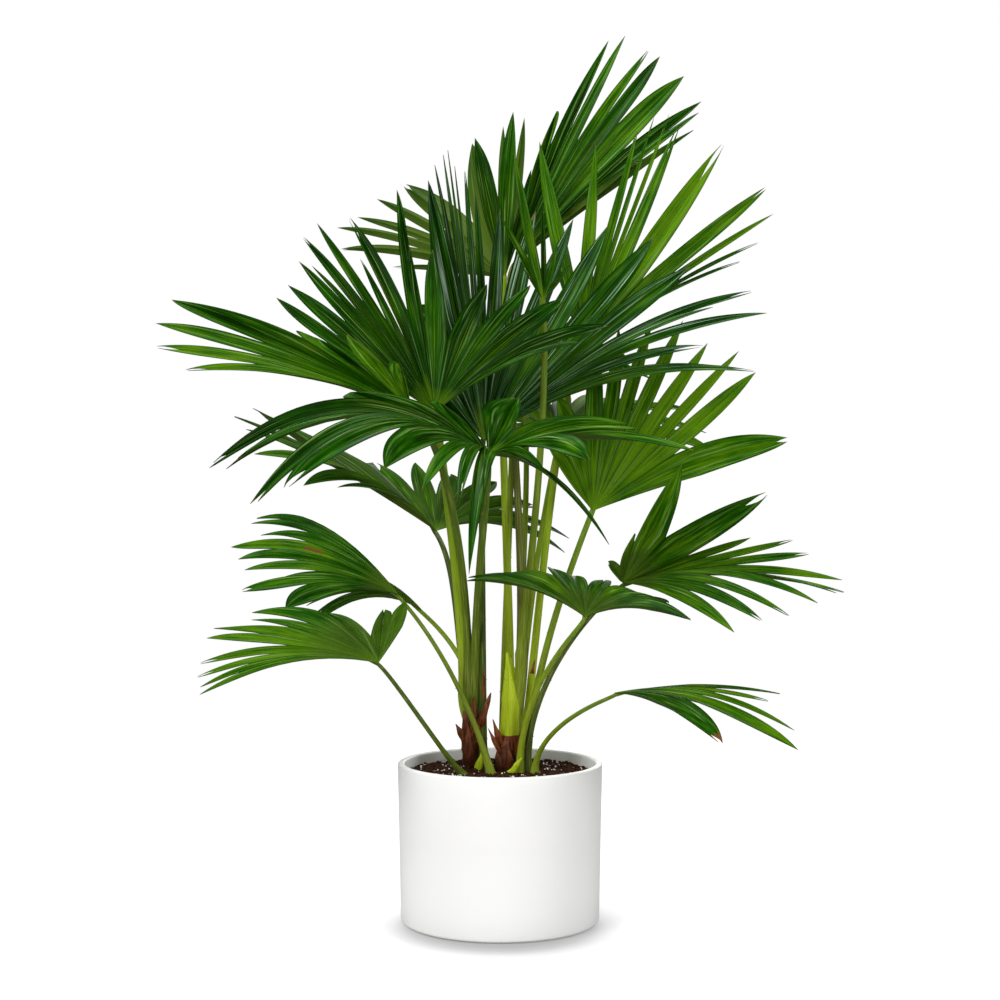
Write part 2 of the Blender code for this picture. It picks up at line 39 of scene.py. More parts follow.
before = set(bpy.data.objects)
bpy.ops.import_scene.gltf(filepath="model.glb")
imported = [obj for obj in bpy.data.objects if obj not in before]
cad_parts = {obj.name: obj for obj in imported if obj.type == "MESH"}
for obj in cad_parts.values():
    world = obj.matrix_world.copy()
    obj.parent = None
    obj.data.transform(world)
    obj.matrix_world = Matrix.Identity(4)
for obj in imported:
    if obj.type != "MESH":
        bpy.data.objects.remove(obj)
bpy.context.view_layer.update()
BODY = "root"

# Pot and soil, as in the solids
POT_HEIGHT = 0.215
POT_RIM_RADIUS = 0.140
POT_FOOT_RADIUS = 0.1357
POT_WALL = 0.0095
POT_FLOOR = 0.012
SOIL_TOP = 0.204
SOIL_DROP = 0.004
SOIL_LEVEL_RADIUS = 0.075
GAP = 0.0003

# Stems, as in the solids
LEFT_STEM = dict(foot=(-0.040, 0.020), top=(-0.041, 0.022), rise=0.100, foot_radius=0.0125,
                 top_radius=0.0140)
RIGHT_STEM = dict(foot=(0.007, -0.004), top=(0.013, -0.002), rise=0.048, foot_radius=0.0150,
                  top_radius=0.0140)
CORE = dict(foot=(0.013, -0.002), top=(0.022, 0.004), rise=0.110, foot_radius=0.0128,
            top_radius=0.0120)
CORE_BEND = (-0.012, 0.018)
LEFT_CAP = "left"
CORE_CAP = "core"

# Petioles and fans, as in the solids
PETIOLE_FOOT_RADIUS = 0.0045
PETIOLE_HUB_RADIUS = 0.0032
COSTA_SHARE = 0.09
SEAT_PITCH = 0.0090
SOLID_THICKNESS = 0.0046
FINGER_TAPER = 3.0
NOTCH_SPREAD = 0.08
NOTCH_LIMITS = (0.20, 0.85)
LENGTH_SPREAD = 0.06
SWAY_SPREAD = 0.24
SAG_SPREAD = 0.25
BEND_POWER = 1.5
HUB_SHARE = 0.04
NORMAL_STEP = 0.02

# Flare of a petiole's base, on the soil and on a stem, and the share of its length over which it eases
BASE_FLARE = 1.45
CAP_FLARE = 1.75
FLARE_LENGTH = 0.07

# Sheathing bases that run down the stems below the petioles: their depths and stations
CLASP_DEPTH = {LEFT_CAP: 0.040, CORE_CAP: 0.085}
CLASP_STATIONS = 12

# Fine fingers
INNER_ROWS = 10
OUTER_ROWS = 17
HALF_COLUMNS = 5
FORK_RANGE = (0.72, 0.93)
FORK_SHARE = 0.35
FORK_POWER = 1.3
BLUNT = 0.88
TWIST = 16.0
CROWN = 0.10

WELD_DISTANCE = 2e-6
UP = np.array((0.0, 0.0, 1.0))


def frond(name, hub, fingers, guides, **shape):
    """One frond: hub place, number of fingers, and guide fingers from one edge of the fan to the other.

    A guide is (finger, swing, lean, length, arch): swing is its angle from upright in the front view,
    positive to the right; lean is its angle away from the front, negative toward it; arch is the share of
    the length by which it bulges upward. United is the usual share of the length joined to the neighbours,
    and splits gives single notches a share of their own.
    """
    usual = dict(united=0.50, splits={}, root=None, cap=None, bearing=0, ring=SEAT_PITCH, lean=0.30,
                 rise=0.38, settle=0.28, seat=0.0)
    usual.update(shape)
    usual.update(name=name, hub=hub, fingers=fingers, guides=guides)
    return usual


FRONDS = [
    frond("top_right", (0.020, 0.185, 0.922), 10,
          [(0, 15, 22, 0.280, 0.02), (1, 22, 20, 0.425, 0.03), (2, 25, 18, 0.435, 0.03),
           (3, 31, 17, 0.425, 0.03), (4, 34, 15, 0.420, 0.03), (5, 41, 13, 0.410, 0.03),
           (6, 48, 10, 0.390, 0.02), (7, 50, 6, 0.365, 0.02), (8, 53, 2, 0.335, 0.02),
           (9, 50, 0, 0.245, 0.02)],
          united=0.58, cap=CORE_CAP, bearing=20, lean=0.1, rise=0.50, settle=0.08, seat=-0.0002),
    frond("top_mid", (0.006, 0.100, 0.888), 3,
          [(0, -11, 22, 0.245, 0.0), (1, 3, 20, 0.280, 0.0), (2, 13, 24, 0.195, 0.0)],
          united=0.42, root=(0.016, 0.032), lean=0.6, rise=0.50),
    frond("upper_mid", (0.058, -0.060, 0.841), 6,
          [(0, -33, -10, 0.060, 0.0), (1, -28, -12, 0.125, 0.0), (2, -12, -14, 0.200, 0.0),
           (3, -1, -10, 0.125, 0.0), (4, 14, -6, 0.080, 0.0), (5, 38, -4, 0.060, 0.0)],
          united=0.30, cap=CORE_CAP, bearing=-40, lean=1.5, rise=0.15),
    frond("right_high", (0.114, 0.070, 0.790), 11,
          [(0, -10, 20, 0.340, 0.0), (1, 5, 18, 0.325, 0.0), (2, 15, 16, 0.350, 0.0),
           (3, 18, 15, 0.380, 0.0), (4, 21, 14, 0.385, -0.01), (5, 24, 12, 0.370, -0.01),
           (6, 35, 10, 0.370, -0.01), (7, 49, 8, 0.360, 0.01), (8, 55, 8, 0.345, 0.02),
           (9, 59, 10, 0.305, 0.04), (10, 61, 14, 0.275, 0.05)],
          united=0.42, splits={1: 0.25, 2: 0.32}, root=(0.030, 0.030), lean=0.9, rise=0.25, settle=0.16),
    frond("centre", (-0.023, 0.010, 0.657), 21,
          [(0, -46, -4, 0.110, 0.0), (1, -28, -6, 0.200, 0.0), (2, -12, -8, 0.360, 0.0),
           (3, -10, -4, 0.380, 0.0), (4, -8, -1, 0.395, 0.0), (5, -7, 2, 0.405, 0.0),
           (6, -6, 4, 0.385, 0.0), (7, -4, 6, 0.380, 0.0), (9, 4, 8, 0.330, 0.0), (11, 22, 8, 0.340, 0.0),
           (13, 40, 4, 0.370, 0.0), (14, 50, 3, 0.375, 0.03), (15, 61, 2, 0.425, 0.07),
           (16, 60, 0, 0.365, 0.07), (17, 66, -2, 0.425, 0.08), (18, 67, -4, 0.325, 0.08),
           (20, 76, -6, 0.380, 0.10)],
          root=(-0.023, 0.006), lean=1.0, rise=0.20, settle=0.04),
    frond("front_left", (-0.086, -0.090, 0.690), 16,
          [(0, -54, 10, 0.270, 0.0), (1, -49, 11, 0.270, 0.0), (2, -42, 12, 0.285, 0.02),
           (3, -40, 13, 0.270, 0.02), (4, -37, 13, 0.310, 0.03), (5, -32, 13, 0.315, 0.03),
           (6, -26, 10, 0.235, 0.04), (7, -24, 11, 0.295, 0.05), (8, -10, 11, 0.315, 0.03),
           (9, -9, 9, 0.230, 0.01), (10, -1, 7, 0.220, 0.0), (11, 22, 5, 0.185, 0.04),
           (12, 37, 1, 0.210, 0.06), (13, 49, -3, 0.225, 0.06), (14, 64, -8, 0.255, 0.07),
           (15, 65, -14, 0.210, 0.08)],
          splits={0: 0.74, 1: 0.62, 2: 0.62, 3: 0.62, 4: 0.60, 5: 0.55, 7: 0.36, 8: 0.42},
          cap=LEFT_CAP, bearing=190, lean=0.0, rise=0.30, settle=0.04),
    frond("left_high", (-0.115, -0.130, 0.689), 7,
          [(0, -80, -8, 0.290, 0.07), (1, -76, -4, 0.335, 0.04), (2, -71, 0, 0.350, 0.04),
           (3, -65, 2, 0.345, 0.03), (4, -52, 4, 0.155, 0.02), (5, -40, 2, 0.130, 0.02),
           (6, -13, -6, 0.060, 0.02)],
          united=0.58, splits={0: 0.45}, cap=LEFT_CAP, bearing=-105, lean=0.0, rise=0.55, settle=0.10),
    frond("front", (-0.015, -0.170, 0.630), 19,
          [(-0.5, -8, 12, 0.075, 0.04), (0, 27, 8, 0.085, 0.04), (1, 79, -14, 0.190, 0.10),
           (2, 89, -18, 0.265, 0.08), (3, 94, -42, 0.165, 0.12), (4, 111, -55, 0.140, 0.12),
           (5, 127, -38, 0.230, 0.14), (6, 188, -62, 0.300, 0.18), (7, 184, -72, 0.235, 0.15),
           (8, 209, -72, 0.220, 0.15), (9, 240, -64, 0.200, 0.15), (10, 261, -52, 0.200, 0.15),
           (11, 260, -36, 0.295, 0.20), (12, 258, -28, 0.315, 0.21), (13, 258, -22, 0.315, 0.24),
           (14, 269, -12, 0.315, 0.17), (15, 267, -6, 0.330, 0.18), (16, 268, -2, 0.350, 0.19),
           (17, 295, 4, 0.195, 0.06), (18, 318, 12, 0.095, 0.03)],
          splits={0: 0.75, 1: 0.30, 5: 0.30, 6: 0.18, 7: 0.24, 8: 0.30, 11: 0.60, 12: 0.65, 13: 0.65,
                  14: 0.42, 15: 0.70, 16: 0.70, 17: 0.55, 18: 0.60},
          cap=LEFT_CAP, bearing=-50, lean=0.1, rise=0.50, settle=0.06, seat=-0.0001),
    frond("right_mid", (0.127, 0.000, 0.559), 10,
          [(0, -34, 6, 0.110, 0.0), (2, 1, 10, 0.235, 0.0), (4, 18, 12, 0.285, 0.0),
           (5, 26, 12, 0.305, 0.0), (6, 35, 12, 0.295, 0.0), (7, 43, 12, 0.315, 0.0),
           (8, 50, 9, 0.305, 0.0), (8.5, 58, 8, 0.280, 0.02), (9, 70, 5, 0.290, 0.04),
           (9.5, 74, 4, 0.250, 0.02)],
          splits={9: 0.48, 10: 0.62}, root=(0.037, 0.010), lean=0.1, rise=0.35, settle=0.20, seat=-0.0004),
    frond("back_left", (0.005, 0.200, 0.904), 9,
          [(0, 7, 28, 0.310, 0.0), (1, 0, 28, 0.290, 0.0), (2, -12, 30, 0.270, 0.0),
           (3, -43, 34, 0.275, 0.03), (4, -54, 32, 0.290, 0.04), (5, -63, 32, 0.305, 0.04),
           (6, -69, 30, 0.325, 0.05), (7, -76, 28, 0.295, 0.05), (8, -81, 24, 0.185, 0.04)],
          united=0.42, root=(0.004, 0.062), lean=0.3, settle=0.08),
    frond("left_mid", (-0.091, 0.100, 0.530), 13,
          [(0, -66, -12, 0.155, 0.16), (1, -71, -10, 0.200, 0.18), (2, -67, -6, 0.280, 0.12),
           (3, -62, 2, 0.310, 0.05), (5, -57, 18, 0.345, 0.02), (6, -45, 50, 0.220, 0.0),
           (7, -21, 58, 0.205, 0.0), (9, 50, 56, 0.200, 0.04), (11, 94, 30, 0.225, 0.12),
           (12, 100, 15, 0.195, 0.14)],
          cap=LEFT_CAP, bearing=130, lean=0.8, rise=0.40, settle=0.30),
    frond("left_fan", (-0.140, 0.020, 0.443), 9,
          [(0, -95, -34, 0.175, 0.10), (1, -87, -26, 0.225, 0.08), (2, -83, -20, 0.180, 0.08),
           (3, -80, -14, 0.215, 0.09), (4, -77, -8, 0.225, 0.10), (5, -74, -2, 0.240, 0.11),
           (6, -67, 4, 0.210, 0.13), (7, -65, 10, 0.235, 0.13), (8, -63, 16, 0.240, 0.14)],
          united=0.66, root=(-0.012, -0.040), lean=0.5, rise=0.50, settle=0.08),
    frond("left_fan_rear", (-0.112, 0.100, 0.417), 8,
          [(0, -97, -20, 0.165, 0.18), (2, -88, 0, 0.165, 0.15), (4, -76, 14, 0.175, 0.12),
           (6, -66, 26, 0.160, 0.10), (7, -68, 38, 0.095, 0.08)],
          united=0.60, root=(-0.022, 0.054), lean=0.0, rise=0.50, settle=0.24),
    frond("left_low", (-0.156, -0.150, 0.365), 11,
          [(0, -98, -24, 0.235, 0.09), (1, -96, -20, 0.230, 0.09), (2, -93, -16, 0.230, 0.08),
           (3, -89, -12, 0.225, 0.07), (4, -81, -8, 0.220, 0.05), (5, -78, -2, 0.215, 0.05),
           (6, -72, 6, 0.175, 0.08), (7, -70, 14, 0.185, 0.11), (8, -51, 30, 0.110, 0.10),
           (9, 3, 40, 0.085, 0.0), (10, 23, 30, 0.095, 0.0)],
          united=0.58, splits={9: 0.40, 10: 0.80}, root=(-0.050, -0.042), lean=1.3, rise=0.20, settle=0.08),
    frond("right_fan", (0.167, -0.020, 0.461), 14,
          [(0, -35, 34, 0.040, 0.0), (1, 16, 30, 0.080, 0.0), (2, 26, -5, 0.180, 0.0),
           (3, 58, 0, 0.230, 0.0), (4, 71, 8, 0.190, 0.0), (5, 76, 4, 0.240, 0.0),
           (6, 81, 0, 0.255, 0.02), (7, 89, -4, 0.295, 0.05), (8, 92, -8, 0.295, 0.06),
           (9, 92, -14, 0.285, 0.08), (10, 95, -20, 0.265, 0.10), (11, 100, -30, 0.240, 0.10),
           (12, 104, -36, 0.215, 0.10), (13, 113, -44, 0.200, 0.08)],
          splits={2: 0.38, 3: 0.40, 4: 0.45}, root=(0.036, -0.013), lean=0.0, rise=0.50, settle=0.05),
    frond("mid_right", (0.110, -0.140, 0.423), 9,
          [(0, -72, -20, 0.170, 0.10), (1, -71, -6, 0.160, 0.12), (2, -64, 16, 0.125, 0.14),
           (3, -36, 42, 0.100, 0.14), (4, -10, 60, 0.100, 0.10), (5, 35, 58, 0.100, 0.10),
           (6, 68, 40, 0.100, 0.12), (8, 90, -22, 0.140, 0.12)],
          united=0.62, root=(0.027, -0.022), lean=0.0, rise=0.50, settle=0.05, seat=-0.0008),
    frond("right_low", (0.149, -0.120, 0.323), 5,
          [(0, 91, 6, 0.220, 0.04), (1, 93, 0, 0.200, 0.05), (2, 101, -8, 0.235, 0.10),
           (3, 106, -14, 0.245, 0.10), (4, 112, -38, 0.170, 0.10)],
          united=0.45, root=(0.047, -0.034), lean=0.0, rise=0.35, settle=0.12),
    frond("back_high", (0.030, 0.190, 0.760), 12,
          [(0, -92, 30, 0.220, 0.10), (3, -64, 52, 0.270, 0.10), (6, -10, 66, 0.300, 0.08),
           (9, 60, 56, 0.280, 0.10), (11, 90, 30, 0.240, 0.10)],
          root=(0.024, 0.070)),
    frond("back_right", (0.085, 0.165, 0.655), 12,
          [(0, -92, 55, 0.200, 0.10), (3, -50, 66, 0.250, 0.08), (6, 40, 66, 0.290, 0.06),
           (9, 74, 40, 0.290, 0.08), (11, 92, 12, 0.240, 0.10)],
          root=(0.024, 0.050)),
]


def unit(vectors):
    return vectors / np.maximum(np.linalg.norm(vectors, axis=-1, keepdims=True), 1e-12)


def guide_ahead(swing, lean):
    """Unit direction of a guide from its swing and lean in degrees."""
    swing, lean = np.radians(swing), np.radians(lean)
    return np.stack([np.sin(swing) * np.cos(lean), np.sin(lean), np.cos(swing) * np.cos(lean)], axis=-1)


def smooth_through(knots, values, at):
    """Values at new places on a cubic that passes through the knots with averaged slopes."""
    values = values.reshape(len(knots), -1)
    slopes = np.gradient(values, knots, axis=0)
    k = np.clip(np.searchsorted(knots, at) - 1, 0, len(knots) - 2)
    gap = (knots[k + 1] - knots[k])[:, None]
    t = (at - knots[k])[:, None] / gap
    return ((2 * t ** 3 - 3 * t ** 2 + 1) * values[k] + (t ** 3 - 2 * t ** 2 + t) * gap * slopes[k]
            + (3 * t ** 2 - 2 * t ** 3) * values[k + 1] + (t ** 3 - t ** 2) * gap * slopes[k + 1])


def fan_points(spec, at, share):
    """Points of the fan at places counted in fingers from its first edge and at shares of its length.

    A line of the fan leaves the hub along its own direction, bulges upward by its arch and comes back to
    its chord at the tip; directions, lengths and arches pass smoothly from guide to guide.
    """
    guides = np.array(spec["guides"], float)
    at, share = np.broadcast_arrays(np.atleast_1d(at), share)
    knots = guides[:, 0] + 0.5
    ahead = unit(smooth_through(knots, guide_ahead(guides[:, 1], guides[:, 2]), at))
    length = smooth_through(knots, guides[:, 3], at)
    arch = smooth_through(knots, guides[:, 4], at)
    share = share[:, None]
    bulge = 4.0 * share * (1.0 - share) * arch * np.array((0.0, 0.0, 1.0))
    return np.asarray(spec["hub"]) + length * (share * ahead + bulge)


def fan_normals(spec, at, share):
    """Upper normals of the fan at the same kind of places."""
    before, after = np.maximum(at - 0.5, 0), np.minimum(at + 0.5, spec["fingers"])
    across = fan_points(spec, after, share) - fan_points(spec, before, share)
    ahead = fan_points(spec, at, share + NORMAL_STEP) - fan_points(spec, at, share - NORMAL_STEP)
    return unit(np.cross(across, ahead))


def hub_frame(spec):
    """Direction of the middle finger as it leaves the hub, and the blade's upper normal there."""
    middle = 0.5 * spec["fingers"]
    axis = unit(fan_points(spec, middle, HUB_SHARE)[0] - np.asarray(spec["hub"]))
    upper = fan_normals(spec, np.array([middle]), HUB_SHARE)[0]
    return axis, unit(upper - np.dot(upper, axis) * axis)


def finger_draws(spec, seed):
    """Seeded share of each notch, and stretch, sway and sag of each finger that no guide names."""
    count = spec["fingers"]
    draw = np.random.default_rng(seed)
    notch = np.clip(spec["united"] + NOTCH_SPREAD * draw.uniform(-1.0, 1.0, count + 1), *NOTCH_LIMITS)
    for edge, share in spec["splits"].items():
        notch[edge] = share
    loose = ~np.isin(np.arange(count), [guide[0] for guide in spec["guides"]])
    stretch = 1.0 + LENGTH_SPREAD * draw.uniform(-1.0, 1.0, count) * loose
    sway = SWAY_SPREAD * draw.uniform(-1.0, 1.0, count) * loose
    sag = SAG_SPREAD * draw.uniform(0.0, 1.0, count) * loose
    return notch, stretch, sway, sag


def fan_grid(rule, spec, at, share):
    """A rule of the fan, such as its points or its normals, for places and shares of any one shape."""
    at, share = np.broadcast_arrays(at, share)
    return rule(spec, at.ravel(), share.ravel()).reshape(*at.shape, 3)


def lattice_noise(places, size, seed):
    """Smooth noise from -1 to 1: trilinear blend of seeded values on a wrapped lattice of the given size."""
    count = 32
    values = np.random.default_rng(seed).uniform(-1.0, 1.0, (count, count, count))
    scaled = np.asarray(places, float) / size
    low = np.floor(scaled).astype(int)
    t = scaled - low
    t = t * t * (3.0 - 2.0 * t)
    total = 0.0
    for corner in np.ndindex(2, 2, 2):
        weight = np.prod(np.where(np.array(corner) == 1, t, 1.0 - t), axis=-1)
        x, y, z = ((low[..., a] + corner[a]) % count for a in range(3))
        total = total + weight * values[x, y, z]
    return total


def new_mesh(name, points, faces, uv=None, meta=None, sharp_angle=40.0, weld=None):
    """Mesh from arrays of points and quads (a quad that repeats a corner is a triangle), welded shut.

    `uv` and `meta` are pairs of numbers for each point, kept as the maps "strip" and "kind". Points with
    one number in `weld` become one; without it, points closer than the weld distance do.
    """
    points = np.asarray(points, float)
    faces = np.asarray(faces, int)
    weld = np.round(points / WELD_DISTANCE).astype(np.int64) if weld is None else weld[:, None]
    keys, first, where = np.unique(weld, axis=0, return_index=True, return_inverse=True)
    where = where.reshape(-1)
    welded = where[faces]
    same = np.roll(welded, -1, axis=1) == welded
    keep_face = same.sum(axis=1) <= 1
    faces, welded, same = faces[keep_face], welded[keep_face], same[keep_face]
    kept = ~same
    loops = welded[kept]
    sources = faces[kept]
    sizes = kept.sum(axis=1)
    starts = np.concatenate([[0], np.cumsum(sizes)[:-1]])
    mesh = bpy.data.meshes.new(name)
    mesh.vertices.add(len(keys))
    mesh.vertices.foreach_set("co", points[first].ravel())
    mesh.loops.add(len(loops))
    mesh.loops.foreach_set("vertex_index", loops.astype(np.int32))
    mesh.polygons.add(len(sizes))
    mesh.polygons.foreach_set("loop_start", starts.astype(np.int32))
    mesh.update(calc_edges=True)
    for label, pairs in (("strip", uv), ("kind", meta)):
        if pairs is not None:
            layer = mesh.uv_layers.new(name=label)
            layer.data.foreach_set("uv", np.asarray(pairs, float)[sources].ravel())
    mesh.validate()
    mesh.shade_smooth()
    mesh.set_sharp_from_angle(angle=math.radians(sharp_angle))
    return mesh


def place(name, mesh, material, nodes=(), slot=None):
    """Put a finished mesh in the scene as a piece that rides on the body and stands for CAD nodes."""
    piece = bpy.data.objects.new(name, mesh)
    piece.data.materials.append(material)
    bpy.context.scene.collection.objects.link(piece)
    if nodes:
        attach(piece, BODY)
        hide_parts(*nodes)
    return piece


def grid_faces(rows, columns, wrap=False, offset=0):
    """Quads of a grid of points stored row by row; `wrap` joins the last column to the first."""
    r = np.arange(rows - 1)[:, None]
    c = np.arange(columns if wrap else columns - 1)[None, :]
    after = (c + 1) % columns
    quads = np.stack([r * columns + c, r * columns + after, (r + 1) * columns + after, (r + 1) * columns + c], -1)
    return quads.reshape(-1, 4) + offset


def tube(path, rings, offset=0):
    """Closed tube: `rings` (stations, sides, 3) are offsets added to `path`; returns points and quads."""
    points = (path[:, None, :] + rings)
    stations, sides = points.shape[:2]
    faces = grid_faces(stations, sides, wrap=True)
    ends = np.array([path[0] + rings[0].mean(0), path[-1] + rings[-1].mean(0)])
    j = np.arange(sides)
    after = (j + 1) % sides
    foot, head = stations * sides, stations * sides + 1
    caps = np.concatenate([
        np.stack([np.full(sides, foot), after, j, j], -1),
        np.stack([np.full(sides, head), (stations - 1) * sides + j, (stations - 1) * sides + after,
                  (stations - 1) * sides + after], -1)])
    return np.concatenate([points.reshape(-1, 3), ends]), np.concatenate([faces, caps]) + offset


def transport(path, start):
    """Tangents and two normals along a path, the first normal carried with as little turning as possible."""
    tangents = unit(np.gradient(path, axis=0))
    across = np.empty_like(path)
    current = np.asarray(start, float)
    for k, ahead in enumerate(tangents):
        current = unit(current - np.dot(current, ahead) * ahead)
        across[k] = current
    return tangents, across, np.cross(tangents, across)


# Materials

# Leaf colours: three tones, the pale of ribs and veins, the underside, dry tips and dry spots
LEAF_DARK = (0.0022, 0.021, 0.0002)
LEAF_MIDDLE = (0.011, 0.076, 0.0003)
LEAF_BRIGHT = (0.088, 0.205, 0.0020)
LEAF_PALE = (0.085, 0.175, 0.0040)
LEAF_UNDER = (0.046, 0.085, 0.008)
LEAF_TIP = (0.16, 0.12, 0.03)
LEAF_DRY = (0.15, 0.056, 0.018)
# Draw of the tone streaks and of the painted sheen's highlight threads: across, along and by tone
STREAK_STRETCH = (3.4, 2.8, 60.0)
SHEEN_STRETCH = (5.5, 1.5, 90.0)


def node(tree, kind, **inputs):
    made = tree.nodes.new(kind)
    for key, value in inputs.items():
        made.inputs[key.replace("_", " ")].default_value = value
    return made


def mix_colour(tree, factor, first, second):
    """Mix two colours, each a socket or an rgb tuple, by a socket or a number; returns the result socket."""
    mix = tree.nodes.new("ShaderNodeMix")
    mix.data_type = "RGBA"
    for socket, value in ((mix.inputs[0], factor), (mix.inputs[6], first), (mix.inputs[7], second)):
        if isinstance(value, bpy.types.NodeSocket):
            tree.links.new(value, socket)
        elif isinstance(value, (int, float)):
            socket.default_value = value
        else:
            socket.default_value = (*value, 1.0)
    return mix.outputs[2]


def ramp(tree, value, *stops):
    """Values between stops (place, grey) read from a socket; returns the factor socket."""
    made = tree.nodes.new("ShaderNodeValToRGB")
    band = made.color_ramp
    while len(band.elements) < len(stops):
        band.elements.new(0.5)
    for element, (where, grey) in zip(band.elements, stops):
        element.position = where
        element.color = (grey, grey, grey, 1.0)
    tree.links.new(value, made.inputs[0])
    return made.outputs[0]


def maths(tree, operation, *values):
    made = tree.nodes.new("ShaderNodeMath")
    made.operation = operation
    for socket, value in zip(made.inputs, values):
        if isinstance(value, bpy.types.NodeSocket):
            tree.links.new(value, socket)
        else:
            socket.default_value = value
    return made.outputs[0]


def noise(tree, vector, scale, detail=3.0):
    made = tree.nodes.new("ShaderNodeTexNoise")
    made.inputs["Scale"].default_value = scale
    made.inputs["Detail"].default_value = detail
    tree.links.new(vector, made.inputs["Vector"])
    return made.outputs["Fac"]


def principled(name):
    made = bpy.data.materials.new(name)
    made.use_nodes = True
    return made, made.node_tree, made.node_tree.nodes["Principled BSDF"]


def finish_surface(tree, shader, colour, roughness, height=None, distance=0.0005, strength=0.5):
    """Link colour, roughness and an optional bump height to a Principled shader."""
    for value, key in ((colour, "Base Color"), (roughness, "Roughness")):
        if isinstance(value, bpy.types.NodeSocket):
            tree.links.new(value, shader.inputs[key])
        elif isinstance(value, (int, float)):
            shader.inputs[key].default_value = value
        else:
            shader.inputs[key].default_value = (*value, 1.0)
    if height is not None:
        bump = tree.nodes.new("ShaderNodeBump")
        bump.inputs["Strength"].default_value = strength
        bump.inputs["Distance"].default_value = distance
        tree.links.new(height, bump.inputs["Height"])
        tree.links.new(bump.outputs[0], shader.inputs["Normal"])


def uv_parts(tree, name):
    """The two numbers of a UV map as sockets."""
    made = tree.nodes.new("ShaderNodeUVMap")
    made.uv_map = name
    split = tree.nodes.new("ShaderNodeSeparateXYZ")
    tree.links.new(made.outputs[0], split.inputs[0])
    return split.outputs[0], split.outputs[1]


def near_spot(tree, place, spot, radius):
    """Mask that is one at a spot and falls to nought at a radius from it."""
    made = tree.nodes.new("ShaderNodeVectorMath")
    made.operation = "DISTANCE"
    tree.links.new(place, made.inputs[0])
    made.inputs[1].default_value = spot
    return ramp(tree, maths(tree, "DIVIDE", made.outputs["Value"], radius), (0.35, 1.0), (1.0, 0.0))


def group_tree(name, takes, gives):
    """Shader group with its own input and output sockets; returns the tree and its two end nodes."""
    tree = bpy.data.node_groups.new(name, "ShaderNodeTree")
    for way, rows in (("INPUT", takes), ("OUTPUT", gives)):
        for label, kind in rows:
            tree.interface.new_socket(label, in_out=way, socket_type="NodeSocket" + kind)
    return tree, tree.nodes.new("NodeGroupInput").outputs, tree.nodes.new("NodeGroupOutput").inputs


def streak_group():
    """Noise drawn out along a piece: place times stretch, read at a scale."""
    tree, takes, gives = group_tree("streaks", (("Place", "Vector"), ("Stretch", "Vector"), ("Scale", "Float")),
                                    (("Streak", "Float"),))
    drawn = tree.nodes.new("ShaderNodeVectorMath")
    drawn.operation = "MULTIPLY"
    tree.links.new(takes["Place"], drawn.inputs[0])
    tree.links.new(takes["Stretch"], drawn.inputs[1])
    made = tree.nodes.new("ShaderNodeTexNoise")
    made.inputs["Detail"].default_value = 4.0
    tree.links.new(drawn.outputs[0], made.inputs["Vector"])
    tree.links.new(takes["Scale"], made.inputs["Scale"])
    tree.links.new(made.outputs["Fac"], gives["Streak"])
    return tree


def shared_group(name, maker):
    """The shader group of that name, made on its first use."""
    return bpy.data.node_groups.get(name) or maker()


def use_group(tree, group, **values):
    """Node of a shader group with its inputs linked to sockets or set to values; returns its outputs."""
    made = tree.nodes.new("ShaderNodeGroup")
    made.node_tree = group
    for key, value in values.items():
        if isinstance(value, bpy.types.NodeSocket):
            tree.links.new(value, made.inputs[key])
        else:
            made.inputs[key].default_value = value
    return made.outputs


